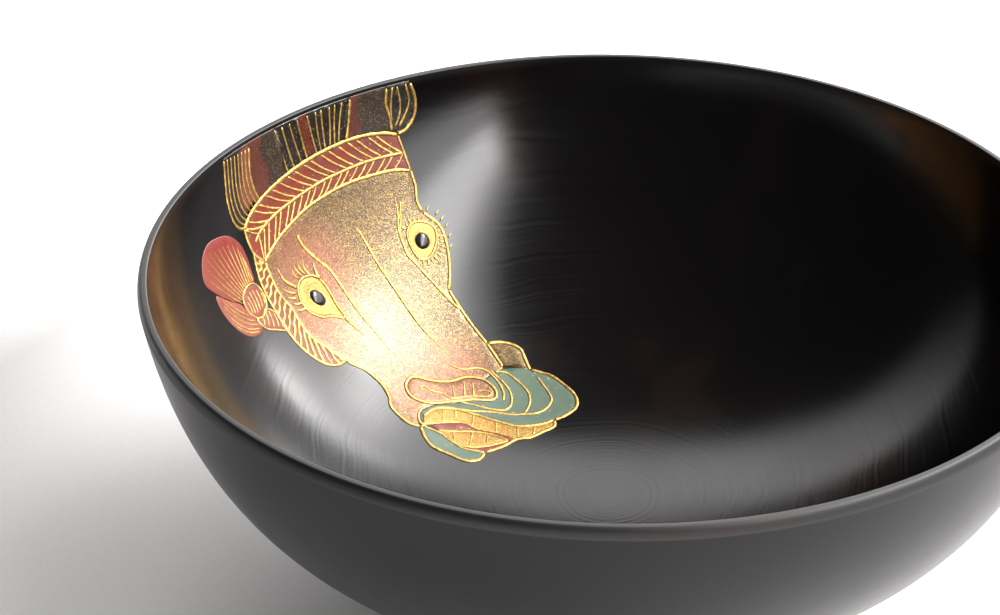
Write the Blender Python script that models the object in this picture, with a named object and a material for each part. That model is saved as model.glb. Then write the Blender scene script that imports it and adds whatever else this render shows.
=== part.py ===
"""A small turned wooden bowl under black lacquer, with a bridled horse's head painted inside it.

The bowl stands on its foot at the origin, with its axis along +Z. The decoration is drawn on the flat
plan of the inside: millimetres from the middle of the bottom, where the distance from the middle is
the distance walked up the wall. lay() carries a point of that plan onto the wall.
"""

import math

import bmesh
import bpy
import numpy as np
from mathutils import Vector, geometry

MM = 0.001

# The turned form, in millimetres. Heights are above the table.
RIM_RADIUS = 60.5
BOWL_HEIGHT = 49.0
LIP_WIDTH = 1.25
LIP_EDGE = 0.2
LIP_ROUND = (0.6, 1.2)
BOTTOM_DEPTH = 37.5
NECK_RADIUS = 24.0
NECK_HEIGHT = 6.4
FOOT_RADIUS = 25.0
FOOT_WIDTH = 2.6
FOOT_INNER = FOOT_RADIUS - FOOT_WIDTH
RECESS_DEPTH = 5.0
SEGMENTS = 48

# The coats. A gap keeps each solid clear of the next. The inner coat wraps over the lip and ends LIP_BAND
# below its top, the outer coat starts a seam lower and ends at SHOE_HEIGHT, where the foot's coat begins.
COAT = 0.25
GAP = 0.12
LIP_BAND = 1.6
COAT_SEAM = 0.3
SHOE_HEIGHT = 1.9
SHOE_COAT = 0.4

# Heights of the decoration above the inner lacquer, and the space between neighbouring fields.
FIELD_LEVEL = (0.35, 0.55)
LINE_LEVEL = (0.75, 0.95)
FIELD_INSET = 0.22
LINE_WIDTH = 0.55
LATTICE_STEP = 4.5
CURVE_STEP = 1.6
DRAWING_EDGE = 76.0

OUTER_WALL = (
    (RIM_RADIUS, BOWL_HEIGHT - LIP_ROUND[1]),
    (57.2, BOWL_HEIGHT - 20.7),
    (48.9, BOWL_HEIGHT - 33.0),
    (NECK_RADIUS, NECK_HEIGHT),
)
INNER_WALL = (
    (0.0, BOWL_HEIGHT - BOTTOM_DEPTH),
    (36.0, BOWL_HEIGHT - BOTTOM_DEPTH),
    (55.6, BOWL_HEIGHT - 22.0),
    (RIM_RADIUS - LIP_WIDTH, BOWL_HEIGHT - LIP_EDGE),
)


# ---------------------------------------------------------------- profiles


def bezier(handles, count):
    """Points (radius, height) along a cubic curve, evenly spaced in its parameter."""
    t = np.linspace(0.0, 1.0, count)[:, None]
    a, b, c, d = np.array(handles)
    return (1 - t) ** 3 * a + 3 * (1 - t) ** 2 * t * b + 3 * (1 - t) * t**2 * c + t**3 * d


def arc(centre, radius, start, end, count):
    """Points on a circle in the profile plane, angles in degrees."""
    angles = np.radians(np.linspace(start, end, count))
    return np.column_stack([centre[0] + radius * np.cos(angles), centre[1] + radius * np.sin(angles)])


def shifted(points, distance):
    """A profile line moved sideways: to its left for a positive distance."""
    along = np.gradient(points, axis=0)
    along /= np.linalg.norm(along, axis=1)[:, None]
    moved = points + distance * np.column_stack([-along[:, 1], along[:, 0]])
    moved[np.abs(points[:, 0]) < 1e-9, 0] = 0.0
    return moved


def lip(back, count):
    """The lip from the inner wall to the outer one, set back into the wood: a tight edge, then a round."""
    edge = max(LIP_EDGE, back)
    corner = (RIM_RADIUS - LIP_WIDTH + edge, BOWL_HEIGHT - edge)
    side = (RIM_RADIUS - LIP_ROUND[0], BOWL_HEIGHT - LIP_ROUND[1])
    around = arc((0.0, 0.0), 1.0, 90, 0, count) * (LIP_ROUND[0] - back, LIP_ROUND[1] - back)
    tight = arc(corner, edge - back, 180, 90, 3) if edge > back else [corner]
    return np.concatenate([tight, side + around])


INNER_LINE = bezier(INNER_WALL, 400)
INNER_LENGTH = np.concatenate([[0.0], np.cumsum(np.linalg.norm(np.diff(INNER_LINE, axis=0), axis=1))])
INNER_TANGENT = np.gradient(INNER_LINE, axis=0)
INNER_TANGENT /= np.linalg.norm(INNER_TANGENT, axis=1)[:, None]


def lay(x, y, height):
    """The plan's point (x, y), carried onto the inside of the bowl and lifted off it by height."""
    walked = math.hypot(x, y)
    radius, level, along, up = (
        np.interp(walked, INNER_LENGTH, column)
        for column in (*INNER_LINE.T, *INNER_TANGENT.T)
    )
    radius -= height * up
    level += height * along
    turn = math.atan2(y, x)
    return Vector((radius * math.cos(turn), radius * math.sin(turn), level)) * MM


# ---------------------------------------------------------------- objects


def material(name, colour, roughness, metallic=0.0):
    made = bpy.data.materials.new(name)
    made.use_nodes = True
    shader = made.node_tree.nodes["Principled BSDF"]
    shader.inputs["Base Color"].default_value = (*colour, 1.0)
    shader.inputs["Roughness"].default_value = roughness
    shader.inputs["Metallic"].default_value = metallic
    return made


def add_object(name, mesh, finish):
    mesh.materials.append(finish)
    made = bpy.data.objects.new(name, mesh)
    bpy.context.scene.collection.objects.link(made)
    return made


def turned(name, profile, finish):
    """The closed profile (radius, height) turned about +Z. It runs anticlockwise, with +X to the right."""
    rings = bmesh.new()
    columns = []
    for segment in range(SEGMENTS):
        turn = 2 * math.pi * segment / SEGMENTS
        columns.append([
            rings.verts.new(Vector((r * math.cos(turn), r * math.sin(turn), z)) * MM) for r, z in profile
        ])
    for segment in range(SEGMENTS):
        this, following = columns[segment], columns[(segment + 1) % SEGMENTS]
        for i in range(len(profile)):
            j = (i + 1) % len(profile)
            if profile[i][0] or profile[j][0]:
                rings.faces.new([following[i], following[j], this[j], this[i]])
    bmesh.ops.remove_doubles(rings, verts=rings.verts, dist=1e-7)
    mesh = bpy.data.meshes.new(name)
    rings.to_mesh(mesh)
    rings.free()
    mesh.shade_smooth()
    mesh.set_sharp_from_angle(angle=math.radians(35))
    return add_object(name, mesh, finish)


# ---------------------------------------------------------------- drawing on the plan


def spline(points, closed=False, step=CURVE_STEP):
    """Points about one step apart on the smooth curve through the given ones."""
    known = [np.array(p, float) for p in points]
    count = len(known)
    drawn = []
    for i in range(count if closed else count - 1):
        if closed:
            a, b, c, d = (known[(i + k) % count] for k in (-1, 0, 1, 2))
        else:
            b, c = known[i], known[i + 1]
            a = known[i - 1] if i else 2 * b - c
            d = known[i + 2] if i + 2 < count else 2 * c - b
        pieces = max(1, round(float(np.linalg.norm(c - b)) / step))
        for k in range(pieces):
            t = k / pieces
            drawn.append(0.5 * (
                2 * b + (c - a) * t + (2 * a - 5 * b + 4 * c - d) * t**2 + (3 * b - a - 3 * c + d) * t**3
            ))
    if not closed:
        drawn.append(known[-1])
    return np.array(drawn)


def outline(*stretches):
    """Open stretches joined end to end into one closed outline, with a corner where two meet."""
    joined = []
    for stretch in stretches:
        for point in np.asarray(stretch, float):
            if not joined or np.linalg.norm(point - joined[-1]) > 0.05:
                joined.append(point)
    if np.linalg.norm(joined[0] - joined[-1]) < 0.05:
        joined.pop()
    return np.array(joined)


def signed_area(points):
    x, y = points.T
    return 0.5 * float(np.sum(x * np.roll(y, -1) - np.roll(x, -1) * y))


def inset(points, distance):
    """A closed outline drawn in by a distance, so that it clears its neighbour."""
    if signed_area(points) < 0:
        points = points[::-1]
    before = points - np.roll(points, 1, axis=0)
    after = np.roll(points, -1, axis=0) - points
    normals = []
    for side in (before, after):
        side = side / np.linalg.norm(side, axis=1)[:, None]
        normals.append(np.column_stack([-side[:, 1], side[:, 0]]))
    middle = normals[0] + normals[1]
    middle /= np.linalg.norm(middle, axis=1)[:, None]
    lean = np.clip((middle * normals[0]).sum(axis=1), 0.55, 1.0)
    return points + middle * (distance / lean)[:, None]


def stroke(points, width=LINE_WIDTH, tip=1.0):
    """The closed outline of a brush line. tip is the width left at its far end, as a share."""
    path = spline(points)
    along = np.gradient(path, axis=0)
    along /= np.linalg.norm(along, axis=1)[:, None]
    side = np.column_stack([-along[:, 1], along[:, 0]])
    half = 0.5 * width * np.linspace(1.0, tip, len(path))[:, None]
    return np.concatenate([path - side * half, (path + side * half)[::-1]])


def ring(points, width=LINE_WIDTH):
    """The outer and the inner outline of a brush line that closes on itself."""
    middle = spline(points, closed=True)
    return inset(middle, -0.5 * width), inset(middle, 0.5 * width)


def ellipse(centre, across, upright, count=14):
    turns = np.linspace(0, 2 * math.pi, count, endpoint=False)
    return np.column_stack([centre[0] + across * np.cos(turns), centre[1] + upright * np.sin(turns)])


def inside(point, loop):
    """Whether a point of the plan is within a closed outline, by counting the sides it is left of."""
    x, y = point
    (ax, ay), (bx, by) = loop.T, np.roll(loop, -1, axis=0).T
    crosses = (ay > y) != (by > y)
    reach = ax + (y - ay) * (bx - ax) / np.where(crosses, by - ay, 1.0)
    return int(np.sum(crosses & (x < reach))) % 2 == 1


def layer(name, outlines, level, finish, holes=()):
    """One closed solid over all the outlines together, less the holes, lying on the wall."""
    loops = [np.asarray(loop) for loop in (*outlines, *holes)]
    points, faces = [], []
    for loop in loops:
        faces.append(list(range(len(points), len(points) + len(loop))))
        points.extend(loop)
    corners = np.array(points)
    low, high = corners.min(axis=0), corners.max(axis=0)
    for x in np.arange(low[0] + 1.0, high[0], LATTICE_STEP):
        for y in np.arange(low[1] + 1.0, high[1], LATTICE_STEP):
            clear = np.linalg.norm(corners - (x, y), axis=1).min() > 0.4 * LATTICE_STEP
            if clear and any(inside((x, y), loop) for loop in outlines):
                points.append(np.array((x, y)))
    flat, _, triangles, _, _, sources = geometry.delaunay_2d_cdt(
        [Vector(p) for p in points], [], faces, 1, 1e-4
    )
    kept = [
        triangle for triangle, source in zip(triangles, sources)
        if source and max(source) < len(outlines)
    ]
    solid = bmesh.new()
    used = sorted({corner for triangle in kept for corner in triangle})
    lower, upper = ({i: solid.verts.new(lay(*flat[i], height)) for i in used} for height in level)
    sides = {}
    for triangle in kept:
        a, b, c = triangle
        flipped = (flat[b] - flat[a]).cross(flat[c] - flat[a]) < 0
        a, b, c = (a, c, b) if flipped else (a, b, c)
        solid.faces.new((upper[a], upper[b], upper[c]))
        solid.faces.new((lower[c], lower[b], lower[a]))
        for start, end in ((a, b), (b, c), (c, a)):
            if (end, start) in sides:
                del sides[(end, start)]
            else:
                sides[(start, end)] = True
    for start, end in sides:
        solid.faces.new((upper[end], upper[start], lower[start], lower[end]))
    mesh = bpy.data.meshes.new(name)
    solid.to_mesh(mesh)
    solid.free()
    return add_object(name, mesh, finish)


def between(first, second, share):
    """A curve a share of the way from one curve to another, point by point."""
    a, b = (along_curve(curve, np.linspace(0, 1, 8)) for curve in (first, second))
    return a * (1 - share) + b * share


def along_curve(curve, shares):
    """Points at shares of a curve's length."""
    curve = np.asarray(curve, float)
    walked = np.concatenate([[0.0], np.cumsum(np.linalg.norm(np.diff(curve, axis=0), axis=1))])
    places = np.atleast_1d(shares) * walked[-1]
    return np.column_stack([np.interp(places, walked, column) for column in curve.T])


def on_rim(x, y, short=0.0):
    """The point in this direction where the drawing ends, under the lip."""
    return np.array((x, y)) * (DRAWING_EDGE - short) / math.hypot(x, y)


# The curves that the fields and the gold lines share, in millimetres on the plan.
BAND_TOP = (
    (-59.9, 27.2), (-59.8, 30.0), (-58.9, 33.8), (-57.2, 38.0), (-54.8, 42.5),
    (-51.6, 47.1), (-47.8, 51.3), (-44.2, 54.3), (-40.8, 56.3), (-38.2, 57.2),
)
BAND_BOTTOM = (
    (-54.6, 25.6), (-54.0, 29.0), (-52.9, 32.8), (-50.6, 38.2), (-47.6, 42.8),
    (-44.4, 46.5), (-41.0, 49.4), (-37.4, 51.9), (-34.4, 53.1),
)
BAND_SPINE = (
    (-57.2, 27.0), (-57.0, 29.5), (-55.6, 33.5), (-53.8, 37.0), (-51.5, 40.8),
    (-48.9, 44.4), (-46.0, 47.6), (-43.0, 50.5), (-39.6, 53.1), (-36.4, 55.1),
)
BAND_RIGHT_END = ((-38.2, 57.2), (-36.6, 55.6), (-34.4, 53.1))
BAND_LEFT_END = ((-54.6, 25.6), (-56.6, 25.2), (-58.4, 26.0), (-59.9, 27.2))
BROW_SIDE = ((-34.4, 53.1), (-33.0, 51.2), (-32.3, 49.2), (-31.0, 47.8))
EYE_SIDE = ((-31.0, 47.8), (-28.0, 46.8), (-26.3, 44.4), (-25.2, 40.4), (-24.9, 37.0))
NOSE_SIDE = ((-24.9, 37.0), (-22.6, 34.2), (-20.4, 31.6), (-18.3, 29.3))
NOSE_FOLD = ((-18.3, 29.3), (-17.0, 27.5), (-15.7, 25.5))
NOSE_TIP = ((-18.3, 29.3), (-16.8, 29.9), (-15.0, 30.0), (-13.3, 29.3), (-12.6, 27.8), (-11.7, 25.7))
LIP_FRONT = (
    (-11.7, 25.7), (-10.0, 25.4), (-8.6, 25.0), (-6.8, 23.6),
    (-5.0, 21.5), (-4.8, 19.2), (-6.2, 17.4), (-7.8, 16.2),
)
GUM_FRONT = (
    (-7.8, 16.2), (-7.8, 14.8), (-9.4, 13.4), (-11.0, 12.0), (-12.8, 11.3), (-14.8, 9.2), (-17.1, 7.4),
)
CHIN = (
    (-17.1, 7.4), (-17.8, 5.6), (-19.6, 4.8), (-22.0, 5.5), (-24.4, 6.4), (-25.6, 8.0), (-26.4, 10.0),
)
JAW = (
    (-26.4, 10.0), (-28.4, 10.2), (-30.8, 12.2), (-31.4, 14.2), (-32.8, 16.2), (-35.4, 17.7), (-38.4, 17.8),
)
MUZZLE_EDGE = ((-15.6, 25.2), (-18.0, 22.6), (-21.0, 17.3), (-24.6, 15.4), (-26.7, 13.2))
MOUTH_CORNER = ((-26.7, 13.2), (-26.9, 11.6), (-26.4, 10.0))
CHEEK = (
    (-38.4, 17.8), (-41.6, 18.5), (-44.4, 18.9), (-46.6, 20.3), (-48.4, 21.7),
    (-51.0, 22.7), (-53.0, 24.3), (-54.6, 25.6),
)
ROPE_EDGE = (
    (-56.9, 25.2), (-56.2, 24.2), (-54.6, 22.2), (-52.6, 20.5), (-50.6, 19.1), (-48.0, 17.2),
    (-45.4, 15.9), (-42.0, 15.3), (-39.8, 16.1), (-38.4, 17.8),
)
LIP_LINE = (
    (-7.8, 16.2), (-10.0, 14.9), (-13.0, 14.1), (-16.0, 14.5),
    (-19.0, 15.1), (-22.0, 15.4), (-24.6, 14.6), (-26.2, 12.4),
)
BITE_LINE = (
    (-12.8, 11.3), (-15.6, 12.0), (-18.6, 12.2), (-20.6, 12.9), (-23.0, 12.2), (-25.4, 11.0), (-26.4, 10.0),
)
LOWER_BITE = ((-14.0, 10.7), (-16.4, 11.5), (-19.2, 11.4), (-22.0, 10.6), (-24.0, 10.2))
LOWER_GUM = ((-14.0, 10.7), (-16.6, 9.0), (-19.2, 8.0), (-21.6, 8.2), (-24.0, 10.2))
LOWER_LIP_TOP = ((-26.0, 10.2), (-24.0, 9.8), (-22.0, 8.8), (-20.4, 7.5), (-17.1, 7.4))
LEFT_LOCK = ((-68.6, 31.6), (-67.3, 30.4), (-65.0, 28.0), (-62.7, 26.5), (-61.0, 26.4), (-59.9, 27.4))
LEFT_LOCK_INNER = ((-64.9, 38.2), (-62.9, 35.6), (-61.2, 34.3), (-59.0, 33.5))
RIGHT_LOCK = ((-38.4, 64.8), (-36.8, 63.4), (-36.2, 61.2), (-36.9, 58.8), (-38.3, 57.2))
RIGHT_LOCK_INNER = ((-42.9, 61.9), (-41.2, 59.2), (-39.6, 56.8))
TASSEL_LOBE = (
    (-55.9, 21.4), (-57.6, 23.6), (-59.8, 24.6), (-62.3, 23.8), (-64.4, 21.2), (-65.6, 17.6),
    (-65.5, 14.2), (-63.6, 11.6), (-61.4, 12.2), (-58.8, 13.8), (-57.2, 15.2), (-57.0, 18.2),
)
TASSEL_SMALL_LOBE = (
    (-56.0, 14.7), (-58.6, 13.3), (-60.4, 11.9), (-58.6, 10.3),
    (-55.6, 10.1), (-53.2, 11.2), (-52.0, 13.4), (-52.6, 14.6),
)
KNOT = (
    (-56.4, 18.6), (-55.4, 20.6), (-53.6, 20.6), (-52.4, 19.2),
    (-52.2, 17.0), (-53.2, 15.4), (-55.0, 15.2), (-56.3, 16.4),
)
STRAP = ((-51.6, 17.8), (-50.4, 17.6), (-48.9, 17.2), (-50.2, 15.9), (-51.4, 15.0), (-52.2, 15.4))
LEFT_EYE = (
    (-48.2, 26.4), (-47.4, 28.4), (-45.6, 29.5), (-43.6, 28.8), (-41.6, 27.0), (-39.9, 25.5),
    (-41.8, 24.6), (-43.4, 23.4), (-45.6, 23.1), (-47.5, 24.3),
)
LEFT_PUPIL = (-44.7, 26.2)
RIGHT_EYE = (-30.1, 43.3)
NOSTRIL = (
    (-29.3, 17.6), (-28.4, 19.6), (-25.6, 19.9), (-23.0, 20.7), (-20.6, 22.3), (-18.0, 22.2),
    (-16.4, 20.6), (-16.6, 18.8), (-19.6, 18.0), (-22.4, 16.8), (-25.4, 15.4), (-28.2, 15.6),
)


def build_bowl():
    """The turned core and the coats of lacquer over it."""
    wood = material("raw_keyaki", (0.30, 0.16, 0.07), 0.6)
    black = material("black_lacquer", (0.006, 0.005, 0.006), 0.22)
    satin = material("satin_black_lacquer", (0.010, 0.009, 0.010), 0.32)
    outer_line = bezier(OUTER_WALL, 40)

    def outer_radius(height):
        return float(np.interp(height, outer_line[::-1, 1], outer_line[::-1, 0]))

    # The inner coat: the inside, the lip and a narrow band below it, then the same line set back.
    band_end = BOWL_HEIGHT - LIP_BAND
    face = np.concatenate([
        bezier(INNER_WALL, 14)[:-1], lip(0.0, 5), [(outer_radius(band_end), band_end)],
    ])
    backing = np.concatenate([
        shifted(bezier(INNER_WALL, 11), -COAT)[:-1], lip(COAT, 4),
        [(outer_radius(band_end) - COAT, band_end)],
    ])
    turned("inner_lacquer", np.concatenate([backing, face[::-1]]), black)

    # The outer coat: the wall from under the lip's band, down to the neck and the side of the foot.
    seam = band_end - COAT_SEAM
    neck = [(NECK_RADIUS, NECK_HEIGHT), (NECK_RADIUS + 0.1, 4.6), (FOOT_RADIUS - 0.3, SHOE_HEIGHT + 0.3)]
    wall = np.concatenate([
        [(outer_radius(seam), seam)], outer_line[outer_line[:, 1] < seam][::5], neck,
    ])
    turned("outer_lacquer", np.concatenate([wall[::-1], shifted(wall, -COAT)]), satin)

    # The core: all of those lines set back by a coat and a gap.
    depth = COAT + GAP
    foot = [
        (FOOT_RADIUS - 0.9, SHOE_COAT + depth), (FOOT_INNER + 0.7, SHOE_COAT + depth),
        (FOOT_INNER - 0.2 + depth, RECESS_DEPTH - 0.6), (FOOT_INNER - 1.2, RECESS_DEPTH + depth),
        (0.0, RECESS_DEPTH + depth),
    ]
    turned("wooden_core", np.concatenate([
        foot[::-1], shifted(wall, -depth)[::-1], lip(depth, 4)[::-1],
        shifted(bezier(INNER_WALL, 11), -depth)[:-1][::-1],
    ]), wood)

    # The foot's coat, which the bowl stands on, and the coat in the recess inside it.
    turned("foot_lacquer", [
        (FOOT_INNER + 0.45, SHOE_COAT), (FOOT_INNER + 0.1, RECESS_DEPTH - 1.5),
        (FOOT_INNER - 0.15, RECESS_DEPTH - 1.5), (FOOT_INNER, 0.6), (FOOT_INNER + 0.4, 0.0),
        (FOOT_RADIUS - 0.5, 0.0), (FOOT_RADIUS, 0.7), (FOOT_RADIUS - 0.2, SHOE_HEIGHT),
        (FOOT_RADIUS - 0.55, SHOE_HEIGHT), (FOOT_RADIUS - 0.75, SHOE_COAT),
    ], satin)
    turned("recess_lacquer", [
        (0.0, RECESS_DEPTH), (FOOT_INNER - 1.2, RECESS_DEPTH), (FOOT_INNER - 0.3, RECESS_DEPTH - 1.1),
        (FOOT_INNER - 0.05, RECESS_DEPTH - 1.0), (FOOT_INNER - 1.1, RECESS_DEPTH + COAT),
        (0.0, RECESS_DEPTH + COAT),
    ], satin)


def build_fields():
    """The coloured fields, each a thin coat of its own."""
    russet = material("russet_lacquer", (0.16, 0.035, 0.018), 0.35)
    black = material("mane_lacquer", (0.012, 0.010, 0.008), 0.30)
    red = material("red_lacquer", (0.42, 0.045, 0.025), 0.38)
    coral = material("coral_lacquer", (0.60, 0.10, 0.055), 0.42)
    dusted = material("gold_dusted_lacquer", (0.34, 0.21, 0.085), 0.38, 0.55)
    green = material("green_lacquer", (0.19, 0.33, 0.24), 0.45)
    gold = material("gold_field", (0.76, 0.50, 0.16), 0.34, 0.85)
    gloss = material("pupil_lacquer", (0.006, 0.005, 0.006), 0.15)

    def field(name, shape, finish, **more):
        layer(name, [inset(shape, FIELD_INSET)], FIELD_LEVEL, finish, **more)

    top = spline(BAND_TOP)
    above = along_curve(top, np.linspace(0.17, 0.955, 24))
    above *= 1 + 0.35 / np.linalg.norm(above, axis=1)[:, None]
    panels = (("forelock_left_field", 0, 7, (-64.6, 38.6), (-61.4, 45.0), russet),
              ("mane_field", 7, 17, (-61.0, 45.4), (-50.4, 57.0), black),
              ("forelock_right_field", 17, 23, (-49.8, 57.4), (-43.4, 61.5), russet))
    for name, first, last, near, far, finish in panels:
        edge = [on_rim(*(np.array(near) * (1 - s) + np.array(far) * s)) for s in np.linspace(0, 1, 6)]
        field(name, outline(above[first:last + 1], edge[::-1]), finish)
    field("left_lock_field", outline(spline(LEFT_LOCK), [(-60.5, 30.0), (-60.0, 32.6)],
                                     spline(LEFT_LOCK_INNER)[::-1], [on_rim(-66.6, 34.4)]), black)
    field("right_lock_field", outline(spline(RIGHT_LOCK), [(-39.4, 57.5)], spline(RIGHT_LOCK_INNER)[::-1],
                                      [on_rim(-40.6, 63.0)]), black)
    field("browband_field", outline(top, spline(BAND_RIGHT_END), spline(BAND_BOTTOM)[::-1],
                                    spline(BAND_LEFT_END)), red)
    field("face_field", outline(spline(BAND_BOTTOM), spline(BROW_SIDE), spline(EYE_SIDE), spline(NOSE_SIDE),
                                spline(NOSE_FOLD), spline(MUZZLE_EDGE), spline(MOUTH_CORNER), spline(JAW),
                                spline(CHEEK)), dusted)
    field("nose_tip_field", outline(spline(NOSE_TIP), spline(NOSE_FOLD)[::-1]), dusted)
    field("cheek_rope_field", outline(spline(ROPE_EDGE), spline(CHEEK)), red)
    field("tassel_field", spline(TASSEL_LOBE, closed=True), coral)
    field("small_tassel_field", spline(TASSEL_SMALL_LOBE, closed=True), coral)
    field("tassel_knot", spline(KNOT, closed=True), coral)
    field("tassel_strap", spline(STRAP, closed=True), coral)
    field("upper_lip_field", outline(spline(LIP_FRONT), spline(LIP_LINE), spline(MUZZLE_EDGE)[::-1],
                                     [(-15.4, 25.2), (-13.0, 26.0)]), green)
    field("upper_teeth", outline(spline(GUM_FRONT[:5]), spline(BITE_LINE), [(-26.2, 11.8)],
                                 spline(LIP_LINE)[::-1]), gold)
    field("lower_teeth", outline(spline(LOWER_BITE), spline(LOWER_GUM)[::-1]), gold)
    field("mouth_field", outline(spline(BITE_LINE[:-1]), spline(LOWER_BITE)[::-1]), red)
    field("gum_field", outline(spline(GUM_FRONT[4:]), [(-20.4, 7.6)], spline(LOWER_GUM[:-1])[::-1]), red)
    field("lower_lip_field", outline(spline(CHIN), spline(LOWER_LIP_TOP)), green)

    left_pupil = ellipse(LEFT_PUPIL, 1.4, 1.2, 10)
    right_pupil = ellipse(RIGHT_EYE, 1.25, 1.25, 10)
    layer("left_eye", [inset(spline(LEFT_EYE, closed=True), 0.75)], LINE_LEVEL, gold, holes=[left_pupil])
    layer("right_eye", [ellipse(RIGHT_EYE, 2.15, 2.15)], LINE_LEVEL, gold, holes=[right_pupil])
    layer("left_pupil", [inset(left_pupil, 0.25)], LINE_LEVEL, gloss)
    layer("right_pupil", [inset(right_pupil, 0.25)], LINE_LEVEL, gloss)
    layer("nostril_field", [inset(spline(NOSTRIL, closed=True), 0.6)], LINE_LEVEL, dusted)


def build_lines():
    """The raised gold lines, drawn last."""
    gold = material("gold_line", (0.83, 0.57, 0.20), 0.30, 0.9)

    mane = [stroke(BAND_TOP), stroke(BAND_RIGHT_END[:2])]
    top = along_curve(spline(BAND_TOP), np.linspace(0.47, 0.77, 11))
    for share, foot in zip(np.linspace(0, 1, 11), top):
        tip = on_rim(*(np.array((-61.2, 45.2)) * (1 - share) + np.array((-50.0, 57.3)) * share))
        mane.append(stroke((foot, 0.5 * (foot + tip) + (0.25, 0.1), tip), 0.5))
    for share in np.linspace(0, 1, 5):
        mane.append(stroke(between(spline(LEFT_LOCK), spline(LEFT_LOCK_INNER), share), 0.5))
    for share in (0.0, 0.36, 0.7, 1.0):
        mane.append(stroke(between(spline(RIGHT_LOCK), spline(RIGHT_LOCK_INNER), share), 0.5))
    layer("mane_goldwork", mane, LINE_LEVEL, gold)

    braid = [stroke(BAND_SPINE)]
    middle = spline(BAND_SPINE)
    for edge, lag in ((BAND_TOP, 0.10), (BAND_BOTTOM, 0.07)):
        near = along_curve(middle, np.linspace(0.13, 0.97, 15))
        far = along_curve(spline(edge), np.linspace(0.13, 0.97, 15) - lag)
        for a, b in zip(near, far):
            braid.append(stroke((a, a + (b - a) * 0.76), 0.42))
    layer("browband_braid", braid, LINE_LEVEL, gold)

    outline_lines = (BAND_BOTTOM, BROW_SIDE, EYE_SIDE, NOSE_SIDE, NOSE_FOLD, NOSE_TIP, LIP_FRONT, GUM_FRONT,
                     CHIN, JAW, CHEEK, LIP_LINE)
    layer("head_outline", [stroke(line) for line in outline_lines], LINE_LEVEL, gold)
    outer = along_curve(spline(ROPE_EDGE[1:-2]), np.linspace(0.04, 0.96, 10))
    inner = along_curve(spline(CHEEK[1:-1][::-1]), np.linspace(0.0, 0.9, 10))
    twists = [stroke((a, a + (b - a) * 0.72), 0.4) for a, b in zip(outer, inner)]
    layer("cheek_rope_goldwork", [stroke(ROPE_EDGE[1:-1], 0.5), *twists], LINE_LEVEL, gold)

    knot_outside, knot_inside = ring(KNOT, 0.45)
    veins = [knot_outside]
    heads = along_curve(spline(TASSEL_LOBE), np.linspace(0.16, 0.78, 9))
    roots = along_curve(spline(KNOT[:2]), np.linspace(1, 0, 5)).tolist()
    roots += along_curve(spline(KNOT[::-1][:2]), np.linspace(0.0, 1, 4)).tolist()
    for head, root in zip(heads, roots):
        head, root = np.array(head), np.array(root)
        bow = 0.5 * (root + head) + (0.0, 0.35)
        veins.append(stroke((root, bow, root + (head - root) * 0.93), 0.4))
    layer("tassel_goldwork", veins, LINE_LEVEL, gold, holes=[knot_inside])

    layer("brow_line", [stroke((
        (-50.7, 33.8), (-49.0, 32.8), (-46.5, 32.3), (-44.0, 32.0), (-41.0, 30.1), (-36.0, 26.2),
        (-31.0, 22.2)), 0.7, 0.5)], LINE_LEVEL, gold)
    layer("forehead_line", [stroke((
        (-41.2, 40.9), (-38.6, 38.8), (-35.0, 35.8), (-30.0, 31.0), (-26.0, 27.6), (-22.6, 25.2)),
        0.7, 0.6)], LINE_LEVEL, gold)
    layer("nose_line", [stroke((
        (-36.0, 48.2), (-35.0, 46.2), (-34.2, 43.5), (-32.6, 41.0), (-29.6, 38.9), (-26.0, 36.6)),
        0.6, 0.8)], LINE_LEVEL, gold)

    rim_outside, rim_inside = ring(LEFT_EYE, 0.45)
    rim = [rim_outside, stroke((LEFT_EYE[5], (-38.2, 24.8), (-36.4, 24.0)), 0.5, 0.4)]
    lashes = along_curve(spline((LEFT_EYE[8], LEFT_EYE[9], *LEFT_EYE[:3])), np.linspace(0.06, 0.98, 9))
    for root in lashes:
        away = (root - LEFT_PUPIL) / np.linalg.norm(root - LEFT_PUPIL)
        rim.append(stroke((root, root + away * 2.0), 0.45, 0.3))
    layer("left_eye_rim", rim, LINE_LEVEL, gold, holes=[rim_inside])

    rim = [ellipse(RIGHT_EYE, 2.9, 2.9, 18)]
    for turn in np.radians(np.arange(-60, 150, 26)):
        ray = np.array((math.cos(turn), math.sin(turn)))
        rim.append(stroke((RIGHT_EYE + ray * 2.7, RIGHT_EYE + ray * 3.5), 0.35, 0.5))
    layer("right_eye_rim", rim, LINE_LEVEL, gold, holes=[ellipse(RIGHT_EYE, 2.5, 2.5, 18)])

    nostril_outside, nostril_inside = ring(NOSTRIL, 0.5)
    layer("nostril_line", [nostril_outside], LINE_LEVEL, gold, holes=[nostril_inside])
    layer("lip_arcs", [
        stroke(((-24.1, 24.2), (-22.0, 23.6), (-19.5, 24.4), (-17.2, 23.6), (-15.7, 21.7),
                (-15.2, 19.0)), 0.5),
        stroke(((-17.2, 23.6), (-15.2, 22.4), (-14.2, 20.6), (-14.1, 18.2), (-15.4, 16.9),
                (-18.6, 16.6)), 0.5),
    ], LINE_LEVEL, gold)
    layer("lip_middle_arc", [stroke((
        (-13.8, 23.6), (-12.2, 21.9), (-11.4, 19.8), (-11.9, 17.0)), 0.5)], LINE_LEVEL, gold)
    layer("lip_front_arc", [stroke((
        (-10.3, 24.2), (-8.8, 21.8), (-8.4, 19.8), (-9.6, 17.8), (-12.6, 16.3), (-16.6, 16.0)), 0.5)],
        LINE_LEVEL, gold)


for leftover in list(bpy.data.objects):
    bpy.data.objects.remove(leftover, do_unlink=True)
build_bowl()
build_fields()
build_lines()
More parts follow.
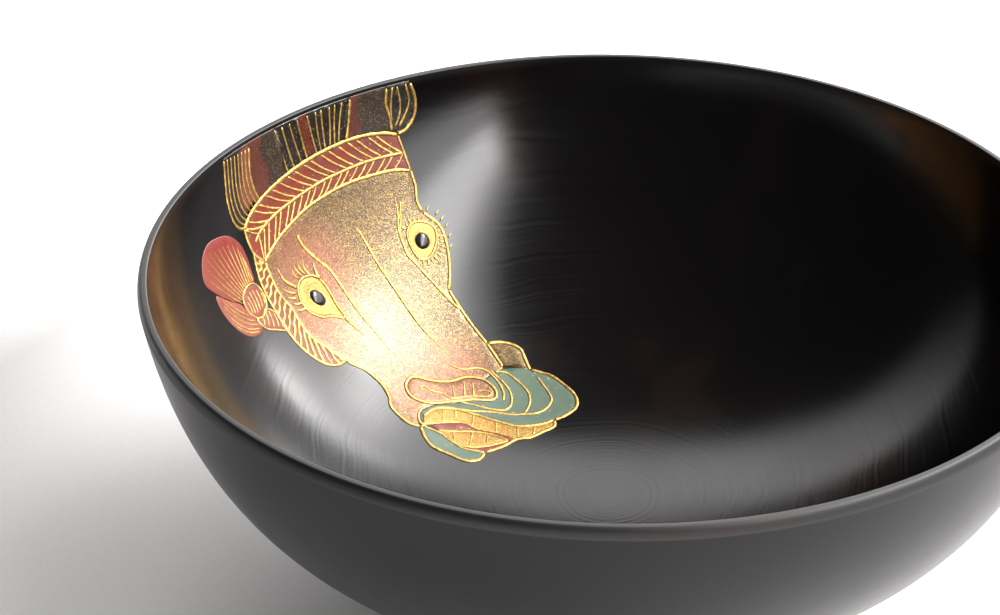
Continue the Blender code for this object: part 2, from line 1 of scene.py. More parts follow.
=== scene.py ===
"""The looks of a small wooden bowl under black lacquer, with a bridled horse's head painted inside it.

The decoration is drawn on the flat plan of the bowl's inside: millimetres from the middle of the bottom,
with the distance walked up the wall as the distance from the middle. lay() carries that plan onto the wall.
"""

import math

import bpy
import numpy as np
from mathutils import Matrix, Vector, geometry


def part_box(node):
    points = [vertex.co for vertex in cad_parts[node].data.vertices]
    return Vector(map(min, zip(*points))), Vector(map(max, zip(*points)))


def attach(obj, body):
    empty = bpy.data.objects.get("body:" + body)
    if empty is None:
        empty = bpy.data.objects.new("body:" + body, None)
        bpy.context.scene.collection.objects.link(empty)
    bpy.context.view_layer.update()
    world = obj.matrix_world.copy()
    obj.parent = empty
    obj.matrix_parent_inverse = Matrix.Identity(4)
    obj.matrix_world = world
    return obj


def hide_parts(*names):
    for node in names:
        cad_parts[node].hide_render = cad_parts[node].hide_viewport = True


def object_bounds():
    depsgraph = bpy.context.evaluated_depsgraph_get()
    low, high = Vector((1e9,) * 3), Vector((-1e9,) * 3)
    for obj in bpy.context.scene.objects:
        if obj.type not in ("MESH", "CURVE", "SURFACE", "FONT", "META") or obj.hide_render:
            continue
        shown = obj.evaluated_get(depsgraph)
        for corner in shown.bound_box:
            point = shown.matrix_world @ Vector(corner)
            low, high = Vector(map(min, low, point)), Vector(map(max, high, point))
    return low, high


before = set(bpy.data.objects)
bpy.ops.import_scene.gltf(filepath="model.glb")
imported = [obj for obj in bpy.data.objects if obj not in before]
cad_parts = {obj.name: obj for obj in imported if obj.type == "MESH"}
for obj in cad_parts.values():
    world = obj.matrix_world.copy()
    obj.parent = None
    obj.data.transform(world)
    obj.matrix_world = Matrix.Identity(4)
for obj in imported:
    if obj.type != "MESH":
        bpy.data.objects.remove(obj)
CAD_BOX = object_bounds()

MM = 0.001

# The turned form, in millimetres, from the CAD box and the wall curves of the design.
RIM_RADIUS = CAD_BOX[1].x / MM
BOWL_HEIGHT = CAD_BOX[1].z / MM
LIP_WIDTH = 1.25
LIP_EDGE = 0.2
LIP_ROUND = (0.6, 1.2)
LIP_BAND = 1.6
COAT = 0.25
NECK_RADIUS = 24.0
NECK_HEIGHT = 6.4
FOOT_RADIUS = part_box("foot_lacquer")[1].x / MM
FOOT_WIDTH = 2.6
RECESS_DEPTH = 5.0
BOTTOM_DEPTH = 37.5
TURNS = 480
SHARP_ANGLE = math.radians(35)

OUTER_WALL = (
    (RIM_RADIUS, BOWL_HEIGHT - LIP_ROUND[1]),
    (57.2, BOWL_HEIGHT - 20.7),
    (48.9, BOWL_HEIGHT - 33.0),
    (NECK_RADIUS, NECK_HEIGHT),
)
INNER_WALL = (
    (0.0, BOWL_HEIGHT - BOTTOM_DEPTH),
    (36.0, BOWL_HEIGHT - BOTTOM_DEPTH),
    (55.6, BOWL_HEIGHT - 22.0),
    (RIM_RADIUS - LIP_WIDTH, BOWL_HEIGHT - LIP_EDGE),
)

# The decoration's heights above the lacquer, and its brush.
PAINT_RISE = 0.035
PAINT_EDGE = 0.14
PAINT_GAP = 0.02
UNDER = 0.03
PUPIL_RISE = 0.42
PUPIL_ROUND = 1.25
PUPIL_STEP = 0.22
ON_FACE = PAINT_RISE + 0.015
LINE_WIDTH = 0.56
LINE_RISE = 0.24
BRUSH_STEP = 0.28
OUTLINE_STEP = 0.5
LATTICE_STEP = 1.1
SAME_POINT = 0.05
DRAWING_EDGE = 76.3
STRIPE_EDGE = 75.9

# The camera: it looks down into the bowl, a little turned away from the middle.
CAMERA_DISTANCE = 5.4969
CAMERA_ELEVATION = math.radians(29.40)
CAMERA_PAN = 0.0431
CAMERA_TILT = -0.0216
CAMERA_ROLL = 0.0222
CAMERA_LENS = 93.6


# ---------------- profiles


def unit(vectors):
    return vectors / np.linalg.norm(vectors, axis=1)[:, None]


def left_of(sides):
    """The unit normals on the left of a line's sides."""
    sides = unit(sides)
    return np.column_stack([-sides[:, 1], sides[:, 0]])


def walk(points):
    """The distance walked along a line to each of its points."""
    return np.concatenate([[0.0], np.cumsum(np.linalg.norm(np.diff(points, axis=0), axis=1))])


def bezier(handles, count):
    """Points (radius, height) along a cubic curve, evenly spaced in its parameter."""
    t = np.linspace(0.0, 1.0, count)[:, None]
    a, b, c, d = np.array(handles)
    return (1 - t) ** 3 * a + 3 * (1 - t) ** 2 * t * b + 3 * (1 - t) * t**2 * c + t**3 * d


def arc(centre, radius, start, end, count):
    """Points on a circle in the profile plane, angles in degrees."""
    angles = np.radians(np.linspace(start, end, count))
    return np.column_stack([centre[0] + radius * np.cos(angles), centre[1] + radius * np.sin(angles)])


def shifted(points, distance):
    """A profile line moved sideways: to its left for a positive distance."""
    moved = points + distance * left_of(np.gradient(points, axis=0))
    moved[np.abs(points[:, 0]) < 1e-9, 0] = 0.0
    return moved


def lip(back, count):
    """The lip from the inner wall to the outer one, set back into the wood: a tight edge, then a round."""
    edge = max(LIP_EDGE, back)
    corner = (RIM_RADIUS - LIP_WIDTH + edge, BOWL_HEIGHT - edge)
    side = (RIM_RADIUS - LIP_ROUND[0], BOWL_HEIGHT - LIP_ROUND[1])
    around = arc((0.0, 0.0), 1.0, 90, 0, count) * (LIP_ROUND[0] - back, LIP_ROUND[1] - back)
    tight = arc(corner, edge - back, 180, 90, 7) if edge > back else [corner]
    return np.concatenate([tight, side + around])


INNER_LINE = bezier(INNER_WALL, 600)
INNER_LENGTH = walk(INNER_LINE)
INNER_TANGENT = unit(np.gradient(INNER_LINE, axis=0))


def lay(plan, height):
    """Points of the plan carried onto the inside of the bowl and lifted off it by height, in metres."""
    plan = np.atleast_2d(plan)
    walked = np.hypot(plan[:, 0], plan[:, 1])
    radius, level, along, up = (
        np.interp(walked, INNER_LENGTH, column) for column in (*INNER_LINE.T, *INNER_TANGENT.T)
    )
    radius = radius - height * up
    turn = np.arctan2(plan[:, 1], plan[:, 0])
    return np.column_stack([radius * np.cos(turn), radius * np.sin(turn), level + height * along]) * MM


# ---------------- pieces


def add_piece(name, vertices, faces, finish, stands_for):
    """One piece of the object, which stands for CAD nodes and rides on the only body."""
    mesh = bpy.data.meshes.new(name)
    mesh.from_pydata([tuple(v) for v in vertices], [], faces)
    mesh.shade_smooth()
    mesh.materials.append(finish)
    piece = bpy.data.objects.new(name, mesh)
    bpy.context.scene.collection.objects.link(piece)
    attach(piece, "root")
    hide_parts(*stands_for)
    return piece


def turned(name, profile, finish, stands_for):
    """The closed profile (radius, height) turned about +Z, running anticlockwise with +X to the right."""
    turns = 2 * math.pi * np.arange(TURNS) / TURNS
    vertices, rings = [], []
    for radius, height in profile:
        if radius < 1e-6:
            rings.append([len(vertices)] * TURNS)
            vertices.append((0.0, 0.0, height * MM))
            continue
        rings.append(list(range(len(vertices), len(vertices) + TURNS)))
        vertices.extend(
            (radius * math.cos(t) * MM, radius * math.sin(t) * MM, height * MM) for t in turns
        )
    faces = []
    for ring, following in zip(rings, rings[1:] + rings[:1]):
        for i in range(TURNS):
            j = (i + 1) % TURNS
            corners = []
            for corner in (ring[j], following[j], following[i], ring[i]):
                if corner not in corners:
                    corners.append(corner)
            if len(corners) > 2:
                faces.append(corners)
    piece = add_piece(name, vertices, faces, finish, stands_for)
    piece.data.set_sharp_from_angle(angle=SHARP_ANGLE)
    return piece


# ---------------- drawing on the plan


def spline(points, closed=False, step=OUTLINE_STEP):
    """Points about one step apart on the smooth curve through the given ones."""
    known = [np.array(p, float) for p in points]
    count = len(known)
    drawn = []
    for i in range(count if closed else count - 1):
        if closed:
            a, b, c, d = (known[(i + k) % count] for k in (-1, 0, 1, 2))
        else:
            b, c = known[i], known[i + 1]
            a = known[i - 1] if i else 2 * b - c
            d = known[i + 2] if i + 2 < count else 2 * c - b
        pieces = max(1, round(float(np.linalg.norm(c - b)) / step))
        for k in range(pieces):
            t = k / pieces
            drawn.append(0.5 * (
                2 * b + (c - a) * t + (2 * a - 5 * b + 4 * c - d) * t**2 + (3 * b - a - 3 * c + d) * t**3
            ))
    if not closed:
        drawn.append(known[-1])
    return np.array(drawn)


def outline(*stretches):
    """Open stretches joined end to end into one closed outline, with a corner where two meet.

    A tuple of points is drawn as a smooth curve, and a list or an array is taken point by point.
    """
    joined = []
    for stretch in stretches:
        for point in spline(stretch) if isinstance(stretch, tuple) else np.asarray(stretch, float):
            if not joined or np.linalg.norm(point - joined[-1]) > SAME_POINT:
                joined.append(point)
    if np.linalg.norm(joined[0] - joined[-1]) < SAME_POINT:
        joined.pop()
    return np.array(joined)


def signed_area(points):
    x, y = points.T
    return 0.5 * float(np.sum(x * np.roll(y, -1) - np.roll(x, -1) * y))


def inset(points, distance):
    """A closed outline drawn in by a distance, so that it clears its neighbour."""
    if signed_area(points) < 0:
        points = points[::-1]
    before = left_of(points - np.roll(points, 1, axis=0))
    middle = unit(before + left_of(np.roll(points, -1, axis=0) - points))
    lean = np.clip((middle * before).sum(axis=1), 0.55, 1.0)
    return points + middle * (distance / lean)[:, None]


def ellipse(centre, across, upright, count=40):
    turns = np.linspace(0, 2 * math.pi, count, endpoint=False)
    return np.column_stack([centre[0] + across * np.cos(turns), centre[1] + upright * np.sin(turns)])


def inside(points, loop):
    """Which points of the plan are within a closed outline, by counting the sides each is left of."""
    x, y = points[:, :1], points[:, 1:]
    (ax, ay), (bx, by) = loop.T, np.roll(loop, -1, axis=0).T
    crosses = (ay > y) != (by > y)
    reach = ax + (y - ay) * (bx - ax) / np.where(by == ay, 1.0, by - ay)
    return np.sum(crosses & (x < reach), axis=1) % 2 == 1


def edge_distance(points, loops):
    """How far each point of the plan is from the nearest side of the outlines."""
    nearest = np.full(len(points), np.inf)
    for loop in loops:
        start, side = loop, np.roll(loop, -1, axis=0) - loop
        reach = points[:, None, :] - start
        share = np.clip((reach * side).sum(axis=2) / (side**2).sum(axis=1), 0.0, 1.0)
        gap = np.linalg.norm(reach - share[..., None] * side, axis=2)
        nearest = np.minimum(nearest, gap.min(axis=1))
    return nearest


def along_curve(curve, shares):
    """Points at shares of a curve's length."""
    walked = walk(curve)
    places = np.atleast_1d(shares) * walked[-1]
    return np.column_stack([np.interp(places, walked, column) for column in np.asarray(curve, float).T])


def between(first, second, share, count=14):
    """A curve a share of the way from one curve to another, point by point."""
    a, b = (along_curve(curve, np.linspace(0, 1, count)) for curve in (first, second))
    return a * (1 - share) + b * share


def on_rim(x, y, edge=DRAWING_EDGE):
    """The point in this direction where the drawing ends, under the lip."""
    return np.array((x, y)) * edge / math.hypot(x, y)


def paint(node, shape, finish, slot, holes=(), base=0.0,
          rise=PAINT_RISE, soft=PAINT_EDGE, step=LATTICE_STEP):
    """A coat of paint over an outline: a thin plate with soft edges, which stands for the CAD node."""
    loops = [inset(np.asarray(shape), PAINT_GAP), *[np.asarray(hole) for hole in holes]]
    corners = np.concatenate(loops)
    low, high = corners.min(axis=0), corners.max(axis=0)
    columns = np.arange(low[0], high[0], step)
    rows = np.arange(low[1], high[1], step)
    lattice = np.array([(x + 0.5 * step * (i % 2), y) for i, y in enumerate(rows) for x in columns])
    shoulders = np.concatenate([
        inset(loops[0], PAINT_EDGE), *[inset(hole, -PAINT_EDGE) for hole in loops[1:]],
    ])
    within = [inside(points, loops[0]) for points in (lattice, shoulders)]
    for hole in loops[1:]:
        within = [ok & ~inside(points, hole) for ok, points in zip(within, (lattice, shoulders))]
    lattice = lattice[within[0]]
    lattice = lattice[edge_distance(lattice, loops) > 2.5 * PAINT_EDGE]
    shoulders = shoulders[within[1]]
    shoulders = shoulders[edge_distance(shoulders, loops) > 0.8 * PAINT_EDGE]
    borders, first = [], 0
    for loop in loops:
        borders.append(list(range(first, first + len(loop))))
        first += len(loop)
    points = np.concatenate([corners, shoulders, lattice])
    flat, _, triangles, _, _, sources = geometry.delaunay_2d_cdt(
        [Vector(p) for p in points], [], borders, 1, 1e-4
    )
    flat = np.array(flat)
    kept = [t for t, source in zip(triangles, sources) if source and max(source) == 0]
    used = sorted({corner for triangle in kept for corner in triangle})
    place = {corner: i for i, corner in enumerate(used)}
    plan = flat[used]
    share = np.clip(edge_distance(plan, loops) / soft, 0.0, 1.0)
    upper = lay(plan, base + rise * np.sqrt(share * (2 - share)))
    vertices = np.concatenate([upper, lay(plan, np.full(len(plan), base - UNDER))])
    faces, sides, count = [], {}, len(plan)
    for triangle in kept:
        a, b, c = (place[corner] for corner in triangle)
        one, two = plan[b] - plan[a], plan[c] - plan[a]
        a, b, c = (a, c, b) if one[0] * two[1] - one[1] * two[0] < 0 else (a, b, c)
        faces += [(a, b, c), (c + count, b + count, a + count)]
        for start, end in ((a, b), (b, c), (c, a)):
            if (end, start) in sides:
                del sides[(end, start)]
            else:
                sides[(start, end)] = True
    faces += [(end, start, start + count, end + count) for start, end in sides]
    return add_piece(f"{node}_paint", vertices, faces, finish, [node])


def line(points, width=LINE_WIDTH, head=0.0, tail=0.0, closed=False, base=PAINT_RISE):
    """One brush stroke. head and tail are the shares of its length over which it swells and thins."""
    return dict(points=points, width=width, head=head, tail=tail, closed=closed, base=base)


def brush_width(stroke, walked, order):
    """The stroke's width at each distance along it: round or drawn-out ends, and an unsteady hand."""
    length = walked[-1]
    unsteady = 0.07 * np.sin(walked * 2.1 + order) + 0.05 * np.sin(walked * 5.3 + 2 * order)
    width = stroke["width"] * (1 + unsteady + 0.04 * np.sin(walked * 11.9 + 3 * order))
    if stroke["closed"]:
        return width
    for reach, share in ((walked, stroke["head"]), (length - walked, stroke["tail"])):
        span = max(share * length, 0.5 * stroke["width"])
        near = np.clip(reach / span, 0.0, 1.0)
        rounded = np.sqrt(near * (2 - near))
        width = width * (0.12 + 0.88 * (rounded if share == 0 else near**0.8))
    return width


def draw(node, strokes, finish):
    """Raised brush strokes, each a closed ribbon with a rounded back, as one piece."""
    section = np.radians(np.linspace(180, 0, 7))
    across = np.concatenate([[-1.0], np.cos(section), [1.0]])
    lift = np.concatenate([[-1.0], np.sin(section), [-1.0]])
    vertices, faces = [], []
    for order, stroke in enumerate(strokes):
        path = spline(stroke["points"], stroke["closed"], BRUSH_STEP)
        if stroke["closed"]:
            along = np.roll(path, -1, axis=0) - np.roll(path, 1, axis=0)
        else:
            along = np.gradient(path, axis=0)
        side = -left_of(along)
        half = 0.5 * brush_width(stroke, walk(path), order)
        first, size, count = sum(len(v) for v in vertices), len(across), len(path)
        for i in range(count):
            plan = path[i] + np.outer(across, side[i]) * half[i]
            back = stroke["base"] + lift * 2 * half[i] * LINE_RISE
            vertices.append(lay(plan, np.where(lift < 0, -UNDER, back)))
        for i in range(count if stroke["closed"] else count - 1):
            this, following = first + i * size, first + (i + 1) % count * size
            for k in range(size):
                m = (k + 1) % size
                faces.append((this + k, this + m, following + m, following + k))
        if not stroke["closed"]:
            last = first + (count - 1) * size
            faces.append(tuple(range(first + size - 1, first - 1, -1)))
            faces.append(tuple(range(last, last + size)))
    return add_piece(f"{node}_relief", np.concatenate(vertices), faces, finish, [node])


# ---------------- materials


# The lacquer and gold colours that more than one material shares.
GOLD_BRIGHT = (0.60, 0.39, 0.115)
GOLD_WORN = (0.36, 0.215, 0.065)
BAND_RED = (0.175, 0.020, 0.009)
BAND_RED_DEEP = (0.125, 0.015, 0.008)
RUSSET = (0.085, 0.016, 0.008)
RUSSET_DEEP = (0.056, 0.012, 0.007)
RED_SPECKS = (0.42, 0.26, 0.10)
LIP_GREEN = (0.080, 0.120, 0.080)
LIP_GREEN_DEEP = (0.062, 0.098, 0.066)
GREEN_SPECKS = (0.30, 0.28, 0.15)
FACE_GROUND = (0.062, 0.035, 0.013)
FACE_GROUND_PINK = (0.150, 0.050, 0.022)
FACE_GOLD = (0.45, 0.285, 0.098)
FACE_GOLD_DARK = (0.22, 0.133, 0.042)
FACE_GOLD_PINK = (0.50, 0.255, 0.115)


class Nodes:
    """A node tree. Each call adds what it is named after, and returns its output."""

    def __init__(self, tree):
        self.tree = tree

    def feed(self, socket, value):
        if isinstance(value, bpy.types.NodeSocket):
            self.tree.links.new(value, socket)
        elif isinstance(value, tuple) and socket.type == "RGBA":
            socket.default_value = (*value, 1.0)
        else:
            socket.default_value = value

    def add(self, kind, inputs, **settings):
        node = self.tree.nodes.new("ShaderNode" + kind)
        for name, value in settings.items():
            setattr(node, name, value)
        for key, value in inputs.items():
            self.feed(node.inputs[key], value)
        return node

    def ramp(self, value, low, high, out_low=0.0, out_high=1.0):
        return self.add("MapRange", {
            "Value": value, "From Min": low, "From Max": high, "To Min": out_low, "To Max": out_high,
        }, interpolation_type="SMOOTHSTEP").outputs["Result"]

    def math(self, operation, first, second=0.0):
        return self.add("Math", {0: first, 1: second}, operation=operation).outputs["Value"]

    def times(self, first, second):
        return self.math("MULTIPLY", first, second)

    def plus(self, first, second):
        return self.math("ADD", first, second)

    def mix(self, factor, first, second):
        return self.add("Mix", {0: factor, 6: first, 7: second}, data_type="RGBA").outputs[2]


class Shader(Nodes):
    """The nodes of one material."""

    def __init__(self, name, **surface):
        self.material = bpy.data.materials.new(name)
        self.material.use_nodes = True
        super().__init__(self.material.node_tree)
        self.bsdf = self.tree.nodes["Principled BSDF"]
        for socket, value in surface.items():
            self.feed(self.bsdf.inputs[socket], value)

    def place(self):
        """The point in the bowl's own frame, in metres."""
        return self.add("TexCoord", {}).outputs["Object"]

    def from_axis(self):
        """The distance from the bowl's axis, in metres."""
        flat = self.add("Mapping", {"Vector": self.place(), "Scale": (1.0, 1.0, 0.0)}).outputs["Vector"]
        return self.add("VectorMath", {0: flat}, operation="LENGTH").outputs["Value"]

    def noise(self, size, detail=2.0, stretch=(1.0, 1.0, 1.0)):
        """Soft blotches about size millimetres wide, from 0 to 1."""
        where = self.add("Mapping", {"Vector": self.place(), "Scale": stretch}).outputs["Vector"]
        texture = self.add("TexNoise", {"Vector": where, "Scale": 1 / (size * MM), "Detail": detail})
        return texture.outputs["Fac"]

    def spread(self, noise, low=0.0, high=1.0):
        """Noise, which stays near its middle, drawn out to run from low to high."""
        return self.ramp(noise, 0.3, 0.7, low, high)

    def spots(self, *places):
        """Spots of the plan, each (x, y, full, none): 1 within full millimetres, and 0 beyond none."""
        total = 0.0
        for x, y, full, none in places:
            point = tuple(lay((x, y), 0.0)[0])
            gap = self.add("VectorMath", {0: self.place(), 1: point}, operation="DISTANCE").outputs["Value"]
            total = self.math("MAXIMUM", self.ramp(gap, full * MM, none * MM, 1.0, 0.0), total)
        return total

    def grains(self, size, share):
        """Sprinkled powder: round grains about size millimetres wide, of which a share is there."""
        cells = self.add("TexVoronoi", {"Vector": self.place(), "Scale": 1 / (size * MM)}).outputs
        grain = self.ramp(cells["Distance"], 0.32, 0.56, 1.0, 0.0)
        chances = self.add("SeparateColor", {"Color": cells["Color"]}).outputs
        there = self.math("LESS_THAN", chances["Red"], share)
        return self.times(grain, there), chances["Green"]

    def bump(self, height, distance):
        """Roughens the surface: height from 0 to 1 stands for distance millimetres."""
        relief = self.add("Bump", {"Height": height, "Distance": distance * MM, "Strength": 1.0})
        self.feed(self.bsdf.inputs["Normal"], relief.outputs["Normal"])

    def colour(self, value):
        self.feed(self.bsdf.inputs["Base Color"], value)
        return self.material

    def roughness(self, value):
        self.feed(self.bsdf.inputs["Roughness"], value)

    def metallic(self, value):
        self.feed(self.bsdf.inputs["Metallic"], value)


def turning_rings(shader, spacing, swirl):
    """Fine marks of polishing on the lathe: rings round the axis, a little broken up."""
    unsteady = shader.times(shader.noise(9.0, 1.0), swirl * MM)
    along = shader.times(shader.plus(shader.from_axis(), unsteady), 1 / (spacing * MM))
    return shader.add(
        "TexNoise", {"W": along, "Scale": 1.0, "Detail": 3.0}, noise_dimensions="1D").outputs["Fac"]


def black_lacquer():
    shader = Shader("black_lacquer", IOR=1.5)
    blotches = shader.noise(14.0, 3.0)
    warm = shader.ramp(shader.noise(22.0, 2.0, (1.0, 1.0, 0.35)), 0.52, 0.75)
    rings = turning_rings(shader, 0.5, 1.5)
    polish = shader.spread(blotches, 0.09, 0.13)
    gloss = shader.plus(polish, shader.times(rings, 0.09))
    inner_edge = (RIM_RADIUS - LIP_WIDTH) * MM
    lip_share = shader.ramp(shader.from_axis(), inner_edge - 0.3 * MM, inner_edge + 0.2 * MM)
    satin = shader.times(shader.math("SUBTRACT", 0.50, gloss), lip_share)
    shader.roughness(shader.plus(gloss, satin))
    peel = shader.times(shader.noise(0.55, 3.0), 1.4)
    shader.bump(shader.plus(shader.times(rings, 3.0), peel), 0.0016)
    return shader.colour(shader.mix(warm, (0.0026, 0.0020, 0.0024), (0.0078, 0.0040, 0.0030)))


def satin_lacquer():
    shader = Shader("satin_black_lacquer", IOR=1.33)
    rings = turning_rings(shader, 0.8, 0.6)
    cloudy = shader.noise(18.0, 3.0)
    shader.roughness(shader.spread(cloudy, 0.30, 0.36))
    fine = shader.plus(shader.times(rings, 0.5), shader.noise(0.5, 2.0))
    shader.bump(fine, 0.0035)
    return shader.colour(shader.mix(cloudy, (0.0016, 0.0015, 0.0024), (0.0032, 0.0029, 0.0042)))


def turned_wood():
    shader = Shader("turned_wood", Roughness=0.6)
    grain = shader.noise(1.2, 4.0, (1.0, 0.12, 1.0))
    rings = shader.ramp(shader.noise(9.0, 1.0, (1.0, 0.2, 1.0)), 0.35, 0.65)
    tone = shader.mix(rings, (0.36, 0.20, 0.09), (0.22, 0.11, 0.045))
    shader.bump(grain, 0.03)
    return shader.colour(shader.mix(shader.ramp(grain, 0.45, 0.7), tone, (0.13, 0.06, 0.025)))


def gold_line():
    """Gold powder burnished over a raised line."""
    shader = Shader("gold_line", IOR=1.5)
    powder = shader.noise(0.14, 3.0)
    worn = shader.ramp(shader.noise(0.5, 3.0), 0.35, 0.65)
    shader.roughness(shader.spread(powder, 0.34, 0.52))
    shader.metallic(shader.ramp(shader.noise(0.3, 2.0), 0.25, 0.5, 0.6, 0.95))
    shader.bump(powder, 0.030)
    return shader.colour(shader.mix(worn, GOLD_BRIGHT, GOLD_WORN))


def gold_field():
    """Gold powder laid close, as on the teeth and round the eyes."""
    shader = Shader("gold_field", IOR=1.5)
    grain, chance = shader.grains(0.2, 0.94)
    powder = shader.noise(0.15, 3.0)
    shader.roughness(shader.spread(powder, 0.34, 0.50))
    shader.metallic(shader.times(shader.ramp(grain, 0.0, 0.6, 0.75, 1.0), 0.92))
    shader.bump(shader.plus(grain, powder), 0.014)
    tone = shader.mix(chance, GOLD_BRIGHT, GOLD_WORN)
    return shader.colour(shader.mix(grain, (0.30, 0.16, 0.045), tone))


def dusted_face():
    """Gold powder sprinkled on brown lacquer, pinker over the cheek, the brow and the muzzle."""
    shader = Shader("gold_dusted_lacquer", IOR=1.5)
    grain, chance = shader.grains(0.17, 0.90)
    pink = shader.spots((-47.0, 29.5, 3.0, 11.0), (-44.0, 21.0, 2.0, 7.0), (-24.0, 22.0, 3.0, 10.0),
                        (-29.0, 16.0, 1.0, 6.0))
    ground = shader.mix(pink, FACE_GROUND, FACE_GROUND_PINK)
    gold = shader.mix(pink, shader.mix(chance, FACE_GOLD, FACE_GOLD_DARK), FACE_GOLD_PINK)
    cloudy = shader.spread(shader.noise(0.5, 3.0), 0.55, 1.0)
    worn = shader.times(cloudy, shader.ramp(pink, 0.0, 1.0, 1.0, 0.75))
    thin = shader.times(grain, worn)
    shader.metallic(shader.ramp(thin, 0.0, 1.0, 0.25, 0.9))
    shader.roughness(shader.ramp(chance, 0.0, 1.0, 0.22, 0.33))
    shader.bump(shader.times(grain, chance), 0.007)
    return shader.colour(shader.mix(thin, ground, gold))


def mane_panel():
    """Red-brown lacquer that turns dark brown along one side, under scattered gold dust."""
    shader = Shader("russet_lacquer", IOR=1.5)
    fine, chance = shader.grains(0.18, 0.30)
    dark = shader.spots((-59.5, 43.8, 3.6, 4.6), (-56.4, 39.8, 2.6, 3.2), (-42.6, 59.8, 3.7, 4.6),
                        (-41.4, 56.4, 3.0, 3.7))
    cloudy = shader.noise(3.0, 2.0)
    russet = shader.mix(cloudy, RUSSET, RUSSET_DEEP)
    brown = shader.mix(cloudy, (0.026, 0.014, 0.008), (0.015, 0.009, 0.006))
    grain = shader.times(fine, shader.ramp(dark, 0.0, 1.0, 0.35, 1.0))
    shader.metallic(shader.times(grain, 0.6))
    shader.roughness(shader.ramp(chance, 0.0, 1.0, 0.34, 0.46))
    shader.bump(grain, 0.010)
    return shader.colour(shader.mix(grain, shader.mix(dark, russet, brown), (0.17, 0.11, 0.048)))


def mane_black():
    """The mane's black ground, with one red-brown lock between the gold stripes."""
    shader = Shader("mane_lacquer", IOR=1.5)
    grain, _ = shader.grains(0.2, 0.10)
    brown = shader.spots(*[(x, y, 0.55, 1.0) for x, y in np.linspace((-57.3, 50.2), (-52.4, 46.3), 7)])
    shader.metallic(shader.times(grain, 0.8))
    shader.roughness(shader.spread(shader.noise(1.2, 2.0), 0.26, 0.38))
    shader.bump(grain, 0.008)
    ground = shader.mix(brown, (0.012, 0.009, 0.007), RUSSET)
    return shader.colour(shader.mix(grain, ground, (0.35, 0.25, 0.12)))


def lock_ground():
    """The left lock's ground: black at its outer side, red-brown towards the forelock."""
    shader = Shader("lock_lacquer", IOR=1.5)
    red = shader.spots((-60.9, 33.2, 1.6, 3.6), (-62.8, 35.0, 1.0, 2.4), (-64.6, 36.9, 1.0, 2.4))
    shader.roughness(shader.spread(shader.noise(1.2, 2.0), 0.26, 0.38))
    shader.bump(shader.noise(0.3, 2.0), 0.004)
    return shader.colour(shader.mix(red, (0.016, 0.012, 0.008), (0.14, 0.045, 0.026)))


def coloured(name, light, dark, speckle, share):
    """A coloured lacquer, unevenly brushed, with a few grains of gold in it."""
    shader = Shader(name, IOR=1.5)
    grain, _ = shader.grains(0.24, share)
    brushed = shader.noise(2.2, 3.0)
    shader.metallic(shader.times(grain, 0.7))
    shader.roughness(shader.spread(brushed, 0.32, 0.44))
    shader.bump(shader.plus(shader.noise(0.35, 2.0), grain), 0.006)
    ground = shader.mix(shader.spread(brushed), light, dark)
    return shader.colour(shader.mix(grain, ground, speckle))


def coral_lacquer():
    """The tassel's light red: deeper at its outer end, with orange at the small lobe."""
    shader = Shader("coral_lacquer", IOR=1.5)
    deep = shader.spots((-62.5, 22.0, 2.0, 9.0))
    orange = shader.spots((-55.5, 10.0, 1.5, 7.0))
    strands = shader.noise(0.8, 3.0)
    tone = shader.mix(deep, (0.19, 0.038, 0.022), (0.165, 0.018, 0.012))
    tone = shader.mix(orange, tone, (0.21, 0.058, 0.026))
    shader.roughness(shader.spread(strands, 0.36, 0.5))
    shader.bump(strands, 0.006)
    return shader.colour(shader.mix(shader.ramp(strands, 0.4, 0.75), tone, (0.145, 0.024, 0.014)))


def pupil_lacquer():
    """Gloss black lacquer, dropped on to stand as a low dome."""
    shader = Shader("pupil_lacquer", IOR=1.5)
    cloudy = shader.noise(0.8, 2.0)
    shader.roughness(shader.spread(cloudy, 0.10, 0.16))
    shader.bump(cloudy, 0.003)
    return shader.colour(shader.mix(cloudy, (0.010, 0.009, 0.010), (0.020, 0.018, 0.018)))


# ---------------- the bowl


